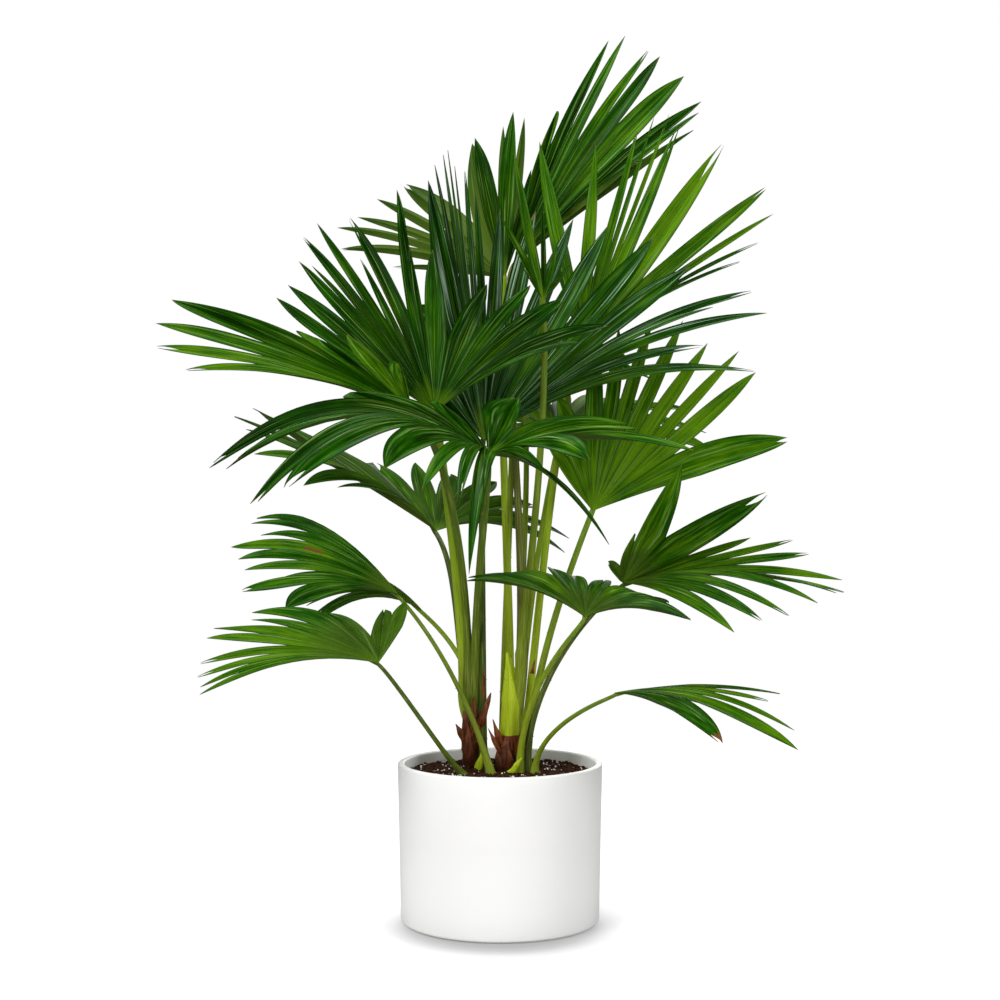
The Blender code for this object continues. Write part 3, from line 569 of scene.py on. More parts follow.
def leaf_group(streaks):
    """Colour, roughness and height of a leaf from its strip and kind maps.

    Tone bands and long streaks run along each finger, with fine veins, a pale midrib, dark seams between
    the fingers, painted shade in the pleats' grooves near the hub, a painted sheen of pale highlights on
    the ridges, a yellow hub, a dry tip and an olive underside.
    """
    tree, takes, gives = group_tree(
        "leaf_pattern", (("Across", "Float"), ("Along", "Float"), ("Olive", "Float"), ("Tone", "Float"),
                         ("Place", "Vector"), ("Sheen", "Color")),
        (("Colour", "Color"), ("Under", "Color"), ("Roughness", "Float"), ("Height", "Float"), ("Streak", "Float")))
    across, along, olive, tone = (takes[key] for key in ("Across", "Along", "Olive", "Tone"))
    patch = noise(tree, takes["Place"], 14.0, 3.0)
    band = tree.nodes.new("ShaderNodeCombineXYZ")
    for socket, value in zip(band.inputs, (across, along, tone)):
        tree.links.new(value, socket)
    streak = use_group(tree, streaks, Place=band.outputs[0], Stretch=STREAK_STRETCH, Scale=1.6)[0]
    thread = use_group(tree, streaks, Place=band.outputs[0], Stretch=SHEEN_STRETCH, Scale=1.6)[0]
    shade = maths(tree, "MULTIPLY_ADD", streak, 1.5, maths(tree, "MULTIPLY_ADD", patch, 1.0, tone))
    low = ramp(tree, maths(tree, "SUBTRACT", shade, 1.26), (0.0, 0.0), (0.40, 1.0))
    high = ramp(tree, maths(tree, "SUBTRACT", shade, 1.66), (0.0, 0.0), (0.50, 1.0))
    upper = mix_colour(tree, high, mix_colour(tree, low, LEAF_DARK, LEAF_MIDDLE), LEAF_BRIGHT)
    fade = ramp(tree, along, (0.15, 0.25), (0.45, 1.0), (0.82, 0.0))
    wave = maths(tree, "MULTIPLY", maths(tree, "SINE", maths(tree, "MULTIPLY", across, 28.0)), fade)
    vein = ramp(tree, wave, (0.30, 0.0), (1.0, 0.35))
    upper = mix_colour(tree, vein, upper, LEAF_PALE)
    distance = maths(tree, "ABSOLUTE", across)
    rib = maths(tree, "MULTIPLY", ramp(tree, distance, (0.0, 0.75), (0.07, 0.0)), fade)
    upper = mix_colour(tree, rib, upper, tuple(1.6 * c for c in LEAF_PALE))
    upper = mix_colour(tree, ramp(tree, distance, (0.88, 0.0), (1.0, 0.7)), upper, LEAF_DARK)
    # Painted shade: darker from the midrib toward the finger's edges near the hub, as shade in the pleats' grooves
    painted_groove_shade = maths(tree, "MULTIPLY", ramp(tree, distance, (0.10, 0.0), (0.70, 0.62)),
                   ramp(tree, along, (0.05, 1.0), (0.60, 0.30)))
    upper = mix_colour(tree, painted_groove_shade, upper, LEAF_DARK)
    # Painted sheen: pale highlight threads painted into the colour along the ridges of each half finger
    ridge = ramp(tree, distance, (0.10, 0.0), (0.35, 1.0), (0.75, 1.0), (0.90, 0.0))
    sheen = maths(tree, "MULTIPLY", ramp(tree, thread, (0.55, 0.0), (0.68, 0.75)), ridge)
    upper = mix_colour(tree, sheen, upper, takes["Sheen"])
    glow = ramp(tree, along, (0.0, 0.75), (0.16, 0.0))
    upper = mix_colour(tree, glow, upper, tuple(1.5 * c for c in LEAF_PALE))
    below = mix_colour(tree, maths(tree, "MULTIPLY", vein, 1.4), LEAF_UNDER, tuple(1.7 * c for c in LEAF_UNDER))
    colour = mix_colour(tree, maths(tree, "MULTIPLY", olive, ramp(tree, along, (0.55, 1.0), (0.92, 0.35))), upper, below)
    colour = mix_colour(tree, ramp(tree, along, (0.975, 0.0), (1.0, 0.7)), colour, LEAF_TIP)
    rough = maths(tree, "MULTIPLY_ADD", olive, 0.20, maths(tree, "MULTIPLY_ADD", tone, 0.16, 0.32))
    for label, value in (("Colour", colour), ("Under", below), ("Roughness", rough), ("Height", wave), ("Streak", streak)):
        tree.links.new(value, gives[label])
    return tree


def leaf_material(name, pattern, sheen, gloss, dull_spots, dry_spots):
    """Leaf: the leaf pattern, dull olive about some hubs, with ragged dry spots at their places."""
    made, tree, shader = principled(name)
    across, along = uv_parts(tree, "strip")
    olive, tone = uv_parts(tree, "kind")
    where = tree.nodes.new("ShaderNodeTexCoord").outputs["Object"]
    leaf = use_group(tree, pattern, Across=across, Along=along, Olive=olive, Tone=tone, Place=where,
                     Sheen=(*sheen, 1.0))
    colour = leaf["Colour"]
    for spot, radius in dull_spots:
        dull = ramp(tree, near_spot(tree, where, spot, radius), (0.0, 0.0), (0.45, 0.60))
        colour = mix_colour(tree, dull, colour, leaf["Under"])
    for spot, radius, middle, half in dry_spots:
        aside = maths(tree, "DIVIDE", maths(tree, "ABSOLUTE", maths(tree, "SUBTRACT", across, middle)), half)
        near = maths(tree, "MULTIPLY", near_spot(tree, where, spot, radius), ramp(tree, aside, (0.5, 1.0), (1.0, 0.0)))
        ragged = maths(tree, "ADD", near, maths(tree, "SUBTRACT", leaf["Streak"], 0.62))
        colour = mix_colour(tree, ramp(tree, ragged, (0.35, 0.0), (0.60, 0.9)), colour, LEAF_DRY)
    finish_surface(tree, shader, colour, leaf["Roughness"], leaf["Height"], 0.0004, 0.30)
    shader.inputs["Specular IOR Level"].default_value = gloss
    return made


def petiole_material(streaks):
    """Petiole: pale yellow-green at the foot to mid green at the hub, darker on some, finely streaked."""
    made, tree, shader = principled("petiole_skin")
    strip = tree.nodes.new("ShaderNodeUVMap")
    strip.uv_map = "strip"
    along = uv_parts(tree, "strip")[1]
    olive, purple = uv_parts(tree, "kind")
    foot = mix_colour(tree, olive, (0.38, 0.48, 0.012), (0.046, 0.074, 0.008))
    head = mix_colour(tree, olive, (0.25, 0.42, 0.012), (0.022, 0.054, 0.005))
    body = mix_colour(tree, ramp(tree, along, (0.05, 0.0), (0.7, 1.0)), foot, head)
    body = mix_colour(tree, purple, body, (0.085, 0.045, 0.025))
    streak = use_group(tree, streaks, Place=strip.outputs[0], Stretch=(14.0, 5.0, 1.0), Scale=3.0)[0]
    body = mix_colour(tree, ramp(tree, streak, (0.50, 0.0), (0.75, 0.5)), body, (0.42, 0.48, 0.10))
    body = mix_colour(tree, ramp(tree, streak, (0.28, 0.6), (0.45, 0.0)), body, (0.030, 0.062, 0.006))
    body = mix_colour(tree, ramp(tree, along, (0.930, 0.0), (0.975, 0.75)), body, (0.17, 0.050, 0.014))
    finish_surface(tree, shader, body, 0.42, streak, 0.0004, 0.4)
    shader.inputs["Specular IOR Level"].default_value = 0.12
    return made


def sheath_material(streaks):
    """Dry brown sheath: red-brown with dark and tan fibres that run up the stem."""
    made, tree, shader = principled("sheath_fibre")
    where = tree.nodes.new("ShaderNodeTexCoord").outputs["Object"]
    fibre = use_group(tree, streaks, Place=where, Stretch=(1.0, 1.0, 0.12), Scale=500.0)[0]
    patch = noise(tree, where, 70.0, 3.0)
    colour = mix_colour(tree, ramp(tree, fibre, (0.35, 0.0), (0.65, 1.0)), (0.040, 0.010, 0.002), (0.210, 0.048, 0.010))
    colour = mix_colour(tree, ramp(tree, patch, (0.52, 0.0), (0.75, 0.7)), colour, (0.30, 0.110, 0.035))
    height = tree.nodes.new("ShaderNodeSeparateXYZ")
    tree.links.new(where, height.inputs[0])
    lift = maths(tree, "DIVIDE", maths(tree, "SUBTRACT", height.outputs["Z"], SOIL_TOP), LEFT_STEM["rise"])
    colour = mix_colour(tree, ramp(tree, lift, (0.0, 0.75), (0.45, 0.0)), colour, (0.014, 0.005, 0.002))
    finish_surface(tree, shader, colour, 0.50, fibre, 0.0004, 0.6)
    shader.inputs["Specular IOR Level"].default_value = 0.2
    return made


def soil_material():
    made, tree, shader = principled("soil_crumb")
    coord = tree.nodes.new("ShaderNodeTexCoord")
    grain = noise(tree, coord.outputs["Object"], 420.0, 6.0)
    colour = mix_colour(tree, ramp(tree, grain, (0.35, 0.0), (0.7, 1.0)), (0.009, 0.0035, 0.0012), (0.075, 0.030, 0.012))
    finish_surface(tree, shader, colour, 0.95, grain, 0.0010, 0.9)
    shader.inputs["Specular IOR Level"].default_value = 0.08
    return made


def plain_material(name, colour, roughness):
    made, tree, shader = principled(name)
    finish_surface(tree, shader, colour, roughness)
    return made


def pot_material():
    """Matte off-white ceramic with a faint cloudiness, painted paler inside and toward the foot as painted light."""
    made, tree, shader = principled("pot_glaze")
    coord = tree.nodes.new("ShaderNodeTexCoord")
    cloud = noise(tree, coord.outputs["Object"], 9.0, 3.0)
    colour = mix_colour(tree, cloud, (0.83, 0.825, 0.805), (0.88, 0.875, 0.86))
    place = tree.nodes.new("ShaderNodeSeparateXYZ")
    tree.links.new(coord.outputs["Object"], place.inputs[0])
    square = maths(tree, "MULTIPLY_ADD", place.outputs["X"], place.outputs["X"],
                   maths(tree, "MULTIPLY", place.outputs["Y"], place.outputs["Y"]))
    # Painted light: the inner wall and the lower outside are paler, making up for the shade that falls there
    inside = ramp(tree, maths(tree, "DIVIDE", maths(tree, "SQRT", square), POT_RIM_RADIUS), (0.93, 1.0), (0.94, 0.0))
    foot = ramp(tree, maths(tree, "DIVIDE", place.outputs["Z"], POT_HEIGHT), (0.0, 1.0), (0.55, 0.0))
    colour = mix_colour(tree, maths(tree, "MAXIMUM", inside, foot), colour, (0.95, 0.95, 0.94))
    speck = noise(tree, coord.outputs["Object"], 900.0, 2.0)
    finish_surface(tree, shader, colour, 0.48, speck, 0.00015, 0.25)
    return made


# Shapes

def lathe_points(profile, sides):
    """Points (r cos a, r sin a, z) for a profile of (r, z) rows and quads between the rings."""
    profile = np.asarray(profile, float)
    turn = 2.0 * np.pi * np.arange(sides) / sides
    points = np.stack([profile[:, :1] * np.cos(turn), profile[:, :1] * np.sin(turn),
                       np.broadcast_to(profile[:, 1:], (len(profile), sides))], -1)
    return points.reshape(-1, 3), grid_faces(len(profile), sides, wrap=True)


def arc(centre, radius, start, end, steps):
    """Profile points on an arc about (r, z), angles in degrees from outward to up."""
    turn = np.radians(np.linspace(start, end, steps))
    return np.stack([centre[0] + radius * np.cos(turn), centre[1] + radius * np.sin(turn)], -1)


def pot_profile(rim_round, foot_round):
    """Profile of the pot from the middle of its underside, out, up, over the rim and down inside."""
    inner_rim = POT_RIM_RADIUS - POT_WALL
    inner_foot = POT_FOOT_RADIUS - POT_WALL
    pieces = [
        np.array([(0.0, 0.0), (0.5 * POT_FOOT_RADIUS, 0.0)]),
        arc((POT_FOOT_RADIUS - foot_round, foot_round), foot_round, -90, 0, 8),
        np.array([(POT_FOOT_RADIUS + s * (POT_RIM_RADIUS - POT_FOOT_RADIUS), foot_round + s *
                   (POT_HEIGHT - rim_round - foot_round)) for s in np.linspace(0.1, 0.9, 9)]),
        arc((POT_RIM_RADIUS - rim_round, POT_HEIGHT - rim_round), rim_round, 0, 90, 8),
        arc((inner_rim + rim_round, POT_HEIGHT - rim_round), rim_round, 90, 180, 8),
        np.array([(inner_foot, POT_FLOOR), (0.0, POT_FLOOR)]),
    ]
    return np.concatenate(pieces)


def soil_height(radius):
    """Height of the soil's surface: level about the stems, easing down toward the wall."""
    wall = POT_FOOT_RADIUS - POT_WALL + (POT_RIM_RADIUS - POT_FOOT_RADIUS)
    t = np.clip((radius - SOIL_LEVEL_RADIUS) / (wall - SOIL_LEVEL_RADIUS), 0.0, 1.0)
    return SOIL_TOP - SOIL_DROP * t ** 1.5


def stem_mesh(name, spec, base, ribs, ridge, wraps, shoulder, bend, seed):
    """Stem whose radius carries wrapped sheath edges, ribs and fibre noise.

    r(a, s) = r(s) (1 + ridge cos(ribs a) + noise) + step of the helix fraction (wraps s + a / turn),
    drawn in over its top part by the shoulder share and bent aside by s cubed.
    """
    stations, sides = 120, 96
    s = np.linspace(0.0, 1.0, stations)[:, None]
    a = (2.0 * np.pi * np.arange(sides) / sides)[None, :]
    radius = spec["foot_radius"] + s * (spec["top_radius"] - spec["foot_radius"])
    radius = radius * (1.0 + ridge * np.cos(ribs * a)) * (1.0 - shoulder * np.clip((s - 0.4) / 0.6, 0.0, 1.0) ** 1.6)
    if wraps:
        radius = radius + 0.0016 * (1.0 - np.mod(wraps * s + a / (2.0 * np.pi), 1.0)) - 0.0008
    x = spec["foot"][0] + s * (spec["top"][0] - spec["foot"][0]) + bend[0] * s ** 3
    y = spec["foot"][1] + s * (spec["top"][1] - spec["foot"][1]) + bend[1] * s ** 3
    z = base + s * spec["rise"] + 0.0 * a
    probe = np.stack([radius * np.cos(a) * 6.0, radius * np.sin(a) * 6.0, z], -1)
    radius = radius * (1.0 + 0.035 * lattice_noise(probe, 0.010, seed))
    points = np.stack([x + radius * np.cos(a), y + radius * np.sin(a), z], -1)
    centre = np.stack([x[:, 0], y[:, 0], z[:, 0]], -1)
    points, faces = tube(centre, points - centre[:, None, :])
    return new_mesh(name, points, faces, sharp_angle=60.0)


def chunks(places, sizes, seed):
    """Many small rough lumps: icosahedron corners, squashed and turned at random, at the given places."""
    draw = np.random.default_rng(seed)
    golden = (1.0 + 5.0 ** 0.5) / 2.0
    corners = unit(np.array([(-1, golden, 0), (1, golden, 0), (-1, -golden, 0), (1, -golden, 0),
                             (0, -1, golden), (0, 1, golden), (0, -1, -golden), (0, 1, -golden),
                             (golden, 0, -1), (golden, 0, 1), (-golden, 0, -1), (-golden, 0, 1)], float))
    faces = np.array([(0, 11, 5), (0, 5, 1), (0, 1, 7), (0, 7, 10), (0, 10, 11), (1, 5, 9), (5, 11, 4),
                      (11, 10, 2), (10, 7, 6), (7, 1, 8), (3, 9, 4), (3, 4, 2), (3, 2, 6), (3, 6, 8),
                      (3, 8, 9), (4, 9, 5), (2, 4, 11), (6, 2, 10), (8, 6, 7), (9, 8, 1)])
    faces = np.concatenate([faces, faces[:, -1:]], axis=1)
    count = len(places)
    squash = draw.uniform(0.65, 1.25, (count, 1, 3))
    rough = draw.uniform(0.78, 1.18, (count, 12, 1))
    turn = draw.normal(size=(count, 3, 3))
    turn = np.linalg.qr(turn)[0]
    turn *= np.sign(np.linalg.det(turn))[:, None, None]
    shapes = np.einsum("nij,nkj->nki", turn, corners[None] * squash * rough) * sizes[:, None, None]
    points = (shapes + places[:, None, :]).reshape(-1, 3)
    return points, (faces[None] + 12 * np.arange(count)[:, None, None]).reshape(-1, 4)


def cap_height(spec):
    base = SOIL_TOP + GAP
    if spec["cap"] == LEFT_CAP:
        return base + LEFT_STEM["rise"]
    return base + RIGHT_STEM["rise"] + GAP + CORE["rise"]


def petiole_path(spec, stations):
    """Bezier from the root to the seat under the hub, then on under the middle finger, and the petiole's share."""
    axis, upper = hub_frame(spec)
    if spec["cap"] is None:
        foot = np.array((*spec["root"], SOIL_TOP + GAP))
    else:
        stem = LEFT_STEM if spec["cap"] == LEFT_CAP else CORE
        turn = math.radians(spec["bearing"])
        foot = np.array((stem["top"][0] + spec["ring"] * math.cos(turn),
                         stem["top"][1] + spec["ring"] * math.sin(turn), cap_height(spec) + GAP))
    seat = 0.5 * SOLID_THICKNESS + PETIOLE_HUB_RADIUS + GAP + spec["seat"]
    end = np.asarray(spec["hub"]) - seat * upper
    costa = fan_points(spec, 0.5 * spec["fingers"], COSTA_SHARE)[0] - 0.6 * PETIOLE_HUB_RADIUS * upper
    span = np.linalg.norm(end - foot)
    leave = unit((end - foot) * (spec["lean"], spec["lean"], 1.0))
    t = np.linspace(0.0, 1.0, stations)[:, None]
    first = foot + spec["rise"] * span * leave
    last = end - spec["settle"] * span * axis
    path = (1 - t) ** 3 * foot + 3 * (1 - t) ** 2 * t * first + 3 * (1 - t) * t * t * last + t ** 3 * end
    path = path + t ** 8 * (seat - 0.9 * PETIOLE_HUB_RADIUS) * upper
    end = path[-1]
    tail = end + np.linspace(0.2, 1.0, 5)[:, None] * (costa - end)
    radius = PETIOLE_FOOT_RADIUS + (PETIOLE_HUB_RADIUS - PETIOLE_FOOT_RADIUS) * t[:, 0]
    tail_radius = PETIOLE_HUB_RADIUS * np.linspace(0.92, 0.35, 5)
    return np.vstack([path, tail]), np.concatenate([radius, tail_radius]), upper


def petiole_points(spec, look, spine_size, spine_count):
    """Channelled tube along the petiole with small spines along both lower margins."""
    stations, sides = 44, 16
    olive, purple, width = look
    path, radius, upper = petiole_path(spec, stations)
    s = np.linspace(0.0, 1.0, len(path))
    flare = BASE_FLARE if spec["cap"] is None else CAP_FLARE
    radius = radius * (width + (flare - width) * np.exp(-s / FLARE_LENGTH))
    if spec["cap"] is not None:
        stem = LEFT_STEM if spec["cap"] == LEFT_CAP else CORE
        down = np.linspace(1.0, 0.0, CLASP_STATIONS, endpoint=False)[:, None]
        inward = np.array((*stem["top"], path[0, 2])) - path[0]
        clasp = path[0] - down * CLASP_DEPTH[spec["cap"]] * UP + 0.75 * down ** 2 * inward
        path = np.concatenate([clasp, path])
        radius = np.concatenate([radius[0] * (1.0 - 0.25 * down[:, 0]), radius])
    ahead, across, over = transport(path, (1.0, 0.0, 0.0))
    a = 2.0 * np.pi * np.arange(sides) / sides
    flat = 1.0 - 0.22 * np.exp(-((a - 0.5 * np.pi) / 0.55) ** 2)
    rings = radius[:, None, None] * flat[None, :, None] * (
        np.cos(a)[None, :, None] * 1.08 * across[:, None, :] + np.sin(a)[None, :, None] * 0.92 * over[:, None, :])
    rings[0] -= (rings[0, :, 2] / ahead[0, 2])[:, None] * ahead[0]
    points, faces = tube(path, rings)
    along = np.repeat(np.linspace(0.0, 1.0, len(path)), sides)
    around = np.tile(np.arange(sides) / sides, len(path))
    strip = np.vstack([np.stack([around, along], -1), [(0.0, 0.0), (0.0, 1.0)]])
    draw = np.random.default_rng(int(1e6 * abs(spec["hub"][2])))
    where = np.sort(draw.uniform(0.10, 0.72, spine_count))
    k = (where * (stations - 1)).astype(int)
    sign = np.where(np.arange(spine_count) % 2 == 0, 1.0, -1.0)[:, None]
    root = path[k] + sign * radius[k, None] * 0.95 * across[k]
    size = spine_size * draw.uniform(0.6, 1.2, (spine_count, 1)) * (1.2 - where[:, None])
    tip = root + sign * size * 1.6 * across[k] + size * 0.5 * ahead[k]
    corners = np.stack([root - size * ahead[k], root + 0.35 * size * over[k], root + size * ahead[k],
                        root - 0.35 * size * over[k], tip], 1)
    corners[:, :4] -= sign[:, :, None] * 0.0006 * across[k][:, None, :]
    quads = np.array([(0, 1, 4, 4), (1, 2, 4, 4), (2, 3, 4, 4), (3, 0, 4, 4), (3, 2, 1, 0)])
    spine_faces = np.where(sign[:, :, None] > 0, quads[None, :, ::-1], quads[None]) + 5 * np.arange(spine_count)[:, None, None]
    faces = np.concatenate([faces, spine_faces.reshape(-1, 4) + len(points)])
    points = np.concatenate([points, corners.reshape(-1, 3)])
    strip = np.concatenate([strip, np.repeat(np.stack([np.zeros(spine_count), where], -1), 5, axis=0)])
    kind = np.tile((olive, purple), (len(points), 1))
    return points, faces, strip, kind


def closed_sheet(name, sheet, normals, faces, thickness, strip, kind, sharp_angle):
    """A sheet given a thickness: offset both ways along its shared normals and walled along its open edges."""
    keys, where = np.unique(np.round(sheet / WELD_DISTANCE).astype(np.int64), axis=0, return_inverse=True)
    where = where.reshape(-1)
    total = np.zeros((len(keys), 3))
    np.add.at(total, where, normals)
    shared = unit(total)[where]
    low = len(sheet)
    begin, end = faces.ravel(), np.roll(faces, -1, axis=1).ravel()
    pairs = np.sort(np.stack([where[begin], where[end]], -1), axis=1)
    real = pairs[:, 0] != pairs[:, 1]
    begin, end, pairs = begin[real], end[real], pairs[real]
    groups, counts = np.unique(pairs, axis=0, return_inverse=True, return_counts=True)[1:]
    open_edge = counts[groups.reshape(-1)] == 1
    begin, end = begin[open_edge], end[open_edge]
    walls = np.stack([end, begin, begin + low, end + low], -1)
    points = np.concatenate([sheet + 0.5 * thickness * shared, sheet - 0.5 * thickness * shared])
    return new_mesh(name, points, np.concatenate([faces, faces[:, ::-1] + low, walls]),
                    np.tile(strip, (2, 1)), kind, sharp_angle, np.concatenate([where, where + len(keys)]))


def blade_mesh(spec, seed, thickness, pleat, tone, olive):
    """Fine blade grown by the solids' rule, each finger as two half fingers that meet in its midrib.

    Across a half finger the place is middle + side reach c / 2, with c = g + (1 - g) t from the midrib
    (t = 0) to the edge (t = 1), where g opens the forked tip. The sheet is raised by
    pleat width (c - 1/2) + crown width sin(pi c), turned about the finger by its twist, and drifts with it.
    """
    count = spec["fingers"]
    notch, stretch, sway, sag = finger_draws(spec, seed)
    draw = np.random.default_rng(100 + seed)
    twist = np.radians(TWIST) * draw.uniform(-1.0, 1.0, (count, 1, 1, 1))
    fork = draw.uniform(*FORK_RANGE, (count, 1, 1, 1))
    forked = draw.uniform(0.0, 1.0, (count, 1, 1, 1)) < FORK_SHARE
    finger_tone = np.clip(tone + 0.22 * draw.uniform(-1.0, 1.0, (count, 1, 1, 1)), 0.0, 1.0)
    part = np.concatenate([np.zeros(INNER_ROWS), np.linspace(0.0, 1.0, OUTER_ROWS)[1:]])[None, None, :, None]
    inner = np.concatenate([np.linspace(0.0, 1.0, INNER_ROWS), np.ones(OUTER_ROWS - 1)])[None, None, :, None]
    side = np.array((-1.0, 1.0))[None, :, None, None]
    middle = (np.arange(count) + 0.5)[:, None, None, None]
    joined = np.stack([notch[:-1], notch[1:]], axis=1)[:, :, None, None]
    half_way = joined.mean(axis=1, keepdims=True)
    stretch, sway, sag = (values[:, None, None, None] for values in (stretch, sway, sag))
    edge_share = joined * inner + (1.0 - joined) * part * stretch
    mid_share = half_way * inner + (1.0 - half_way) * part * stretch
    narrow = 1.0 - np.where(forked, BLUNT, 1.0) * part ** FINGER_TAPER
    reach = np.where(part > 0.0, joined / np.maximum(edge_share, 1e-9) * narrow, 1.0)
    opened = forked * np.clip((part - fork) / (1.0 - fork), 0.0, 1.0) ** FORK_POWER
    across = opened + (1.0 - opened) * np.linspace(0.0, 1.0, HALF_COLUMNS)
    at = middle + 0.5 * side * reach * across
    share = mid_share + (edge_share - mid_share) * across
    sheet = fan_grid(fan_points, spec, at, share)
    normal = fan_grid(fan_normals, spec, at, np.clip(share, 0.03, 1.0))
    before, after = np.maximum(at - 0.5, 0.0), np.minimum(at + 0.5, count)
    spacing = fan_grid(fan_points, spec, after, share) - fan_grid(fan_points, spec, before, share)
    width = 0.5 * np.linalg.norm(spacing, axis=-1) / (after - before) * reach
    raised = pleat * (1.0 - 0.45 * part) * width * (across - 0.5) + CROWN * width * np.sin(np.pi * across)
    sheet = sheet + raised[..., None] * normal
    centre = fan_grid(fan_points, spec, middle, mid_share)
    ahead = unit(fan_grid(fan_points, spec, middle, mid_share + NORMAL_STEP) - centre)
    turn = (twist * part ** 1.2)[..., None]
    offset = sheet - centre
    sheet = (centre + offset * np.cos(turn) + np.cross(ahead, offset) * np.sin(turn)
             + ahead * np.sum(ahead * offset, axis=-1, keepdims=True) * (1.0 - np.cos(turn)))
    normal = unit(normal * np.cos(turn) + np.cross(ahead, normal) * np.sin(turn))
    spread = fan_grid(fan_points, spec, middle + 0.5, 1.0) - fan_grid(fan_points, spec, middle - 0.5, 1.0)
    drop = np.linalg.norm(spread, axis=-1, keepdims=True) * UP
    sheet = sheet + (part ** BEND_POWER)[..., None] * (sway[..., None] * spread - sag[..., None] * drop)
    rows, columns = part.shape[2], HALF_COLUMNS
    cells = grid_faces(rows, columns)
    cells = np.stack([cells[:, ::-1], cells + rows * columns])
    faces = cells.reshape(-1, 4) + 2 * rows * columns * np.arange(count)[:, None, None]
    strip = np.stack(np.broadcast_arrays(side * across, share), -1).reshape(-1, 2)
    shade = np.broadcast_to(finger_tone, at.shape).ravel()
    kind = np.stack([np.repeat((olive, 1.0), at.size), np.tile(shade, 2)], -1)
    return closed_sheet("leaf_" + spec["name"], sheet.reshape(-1, 3), normal.reshape(-1, 3),
                        faces.reshape(-1, 4), thickness, strip, kind, 30.0)


# Share of bright green, and of the olive underside that shows on the front, for each blade; the share of
# bright green is partly painted light, raised on blades lit from behind and lowered on brightly lit ones
LEAF_TONE_AND_LIGHT = dict(top_right=(0.38, 0.0), top_mid=(0.0, 0.05), upper_mid=(0.38, 0.0), right_high=(0.60, 0.0),
                 centre=(0.23, 0.0), front_left=(0.06, 0.0), left_high=(0.66, 0.0), front=(0.22, 0.0),
                 right_mid=(0.76, 0.0), back_left=(0.02, 0.36), left_mid=(0.22, 0.38), left_fan=(0.46, 0.0),
                 left_fan_rear=(0.65, 0.2), left_low=(0.49, 0.0), right_fan=(0.65, 0.0),
                 mid_right=(0.41, 0.1), right_low=(0.56, 0.0), back_high=(0.45, 0.0), back_right=(0.75, 0.0))
# Blades with a little more specular whose painted sheen is a bluish-white highlight
GLOSSY_BLADES = ("centre",)
# Reach of the dull olive folds about a hub
DULL_HUBS = dict(left_low=0.100, left_fan=0.060, right_fan=0.060, mid_right=0.055)
# Share of dark olive, share of purple-brown and width of each petiole
PETIOLE_LOOK = dict(top_right=(0.75, 0.5, 1.1), top_mid=(0.12, 0.0, 1.25), upper_mid=(0.6, 0.1, 1.15),
                    right_high=(0.0, 0.0, 1.2), centre=(1.0, 0.0, 1.1), front_left=(0.25, 0.0, 1.4),
                    left_high=(0.80, 0.0, 1.15), front=(0.8, 0.0, 1.2), right_mid=(0.5, 0.0, 1.1),
                    back_left=(0.5, 0.1, 1.0), left_mid=(1.0, 0.1, 1.0), left_fan=(0.70, 0.0, 0.72),
                    left_fan_rear=(0.25, 0.0, 0.85), left_low=(0.9, 0.0, 0.74), right_fan=(0.95, 0.1, 0.85),
                    mid_right=(0.45, 0.0, 0.78), right_low=(0.65, 0.0, 0.74), back_high=(0.55, 0.0, 1.0),
                    back_right=(0.35, 0.0, 1.0))
# Torn tips of the sheaths: foot, tip and width
FLAGS = (
    ((-0.0310, 0.0070, 0.252), (-0.0120, -0.0010, 0.3110), 0.017),
    ((-0.0345, 0.0065, 0.250), (-0.0365, 0.0040, 0.3060), 0.016),
    ((-0.0245, 0.0080, 0.292), (-0.0208, 0.0040, 0.3500), 0.007),
    ((-0.0455, 0.0110, 0.240), (-0.0610, 0.0040, 0.2670), 0.015),
    ((-0.0420, 0.0080, 0.206), (-0.0450, 0.0060, 0.2700), 0.018),
    ((0.0000, -0.0150, 0.242), (-0.0100, -0.0190, 0.2765), 0.012),
    ((0.0015, -0.0150, 0.230), (-0.0165, -0.0165, 0.2640), 0.010),
    ((0.0195, -0.0130, 0.215), (0.0455, -0.0070, 0.3120), 0.012),
    ((0.0440, -0.0030, 0.336), (0.0475, -0.0045, 0.3560), 0.006),
    ((0.0010, -0.0185, 0.204), (-0.0045, -0.0215, 0.2330), 0.017),
    ((0.0110, -0.0195, 0.204), (0.0110, -0.0225, 0.2400), 0.019),
    ((0.0180, -0.0180, 0.205), (0.0310, -0.0215, 0.2290), 0.012),
)
# Small green shoots beside the stems
SHOOTS = (
    ((-0.0300, -0.0050, 0.2060), (-0.0210, -0.0060, 0.2400), 0.011),
    ((0.0165, -0.0290, 0.2030), (0.0300, -0.0300, 0.2260), 0.015),
)


def flag_points(foot, tip, width, thick, turn):
    """Torn sheath tip: a flat tube along a bowed path, as wide as width (1 - s)^0.7 (1 + 0.15 sin 9 s)."""
    foot, tip = np.array(foot), np.array(tip)
    s = np.linspace(0.0, 0.985, 24)[:, None]
    length = np.linalg.norm(tip - foot)
    path = foot + s * (tip - foot) + 0.10 * length * np.sin(np.pi * s) * np.array((0.0, -1.0, 0.0))
    ahead, across, over = transport(path, (math.cos(turn), math.sin(turn), 0.0))
    a = 2.0 * np.pi * np.arange(14) / 14
    half = 0.5 * width * (1.0 - s) ** 0.7 * (1.0 + 0.15 * np.sin(9.0 * s + 7.0 * turn))
    thick = thick * (1.0 - 0.7 * s)
    cup = 0.35 * half * np.cos(a)[None, :] ** 2
    rings = (half * np.cos(a))[..., None] * across[:, None] + (thick * np.sin(a) + cup)[..., None] * over[:, None]
    return tube(path, rings)


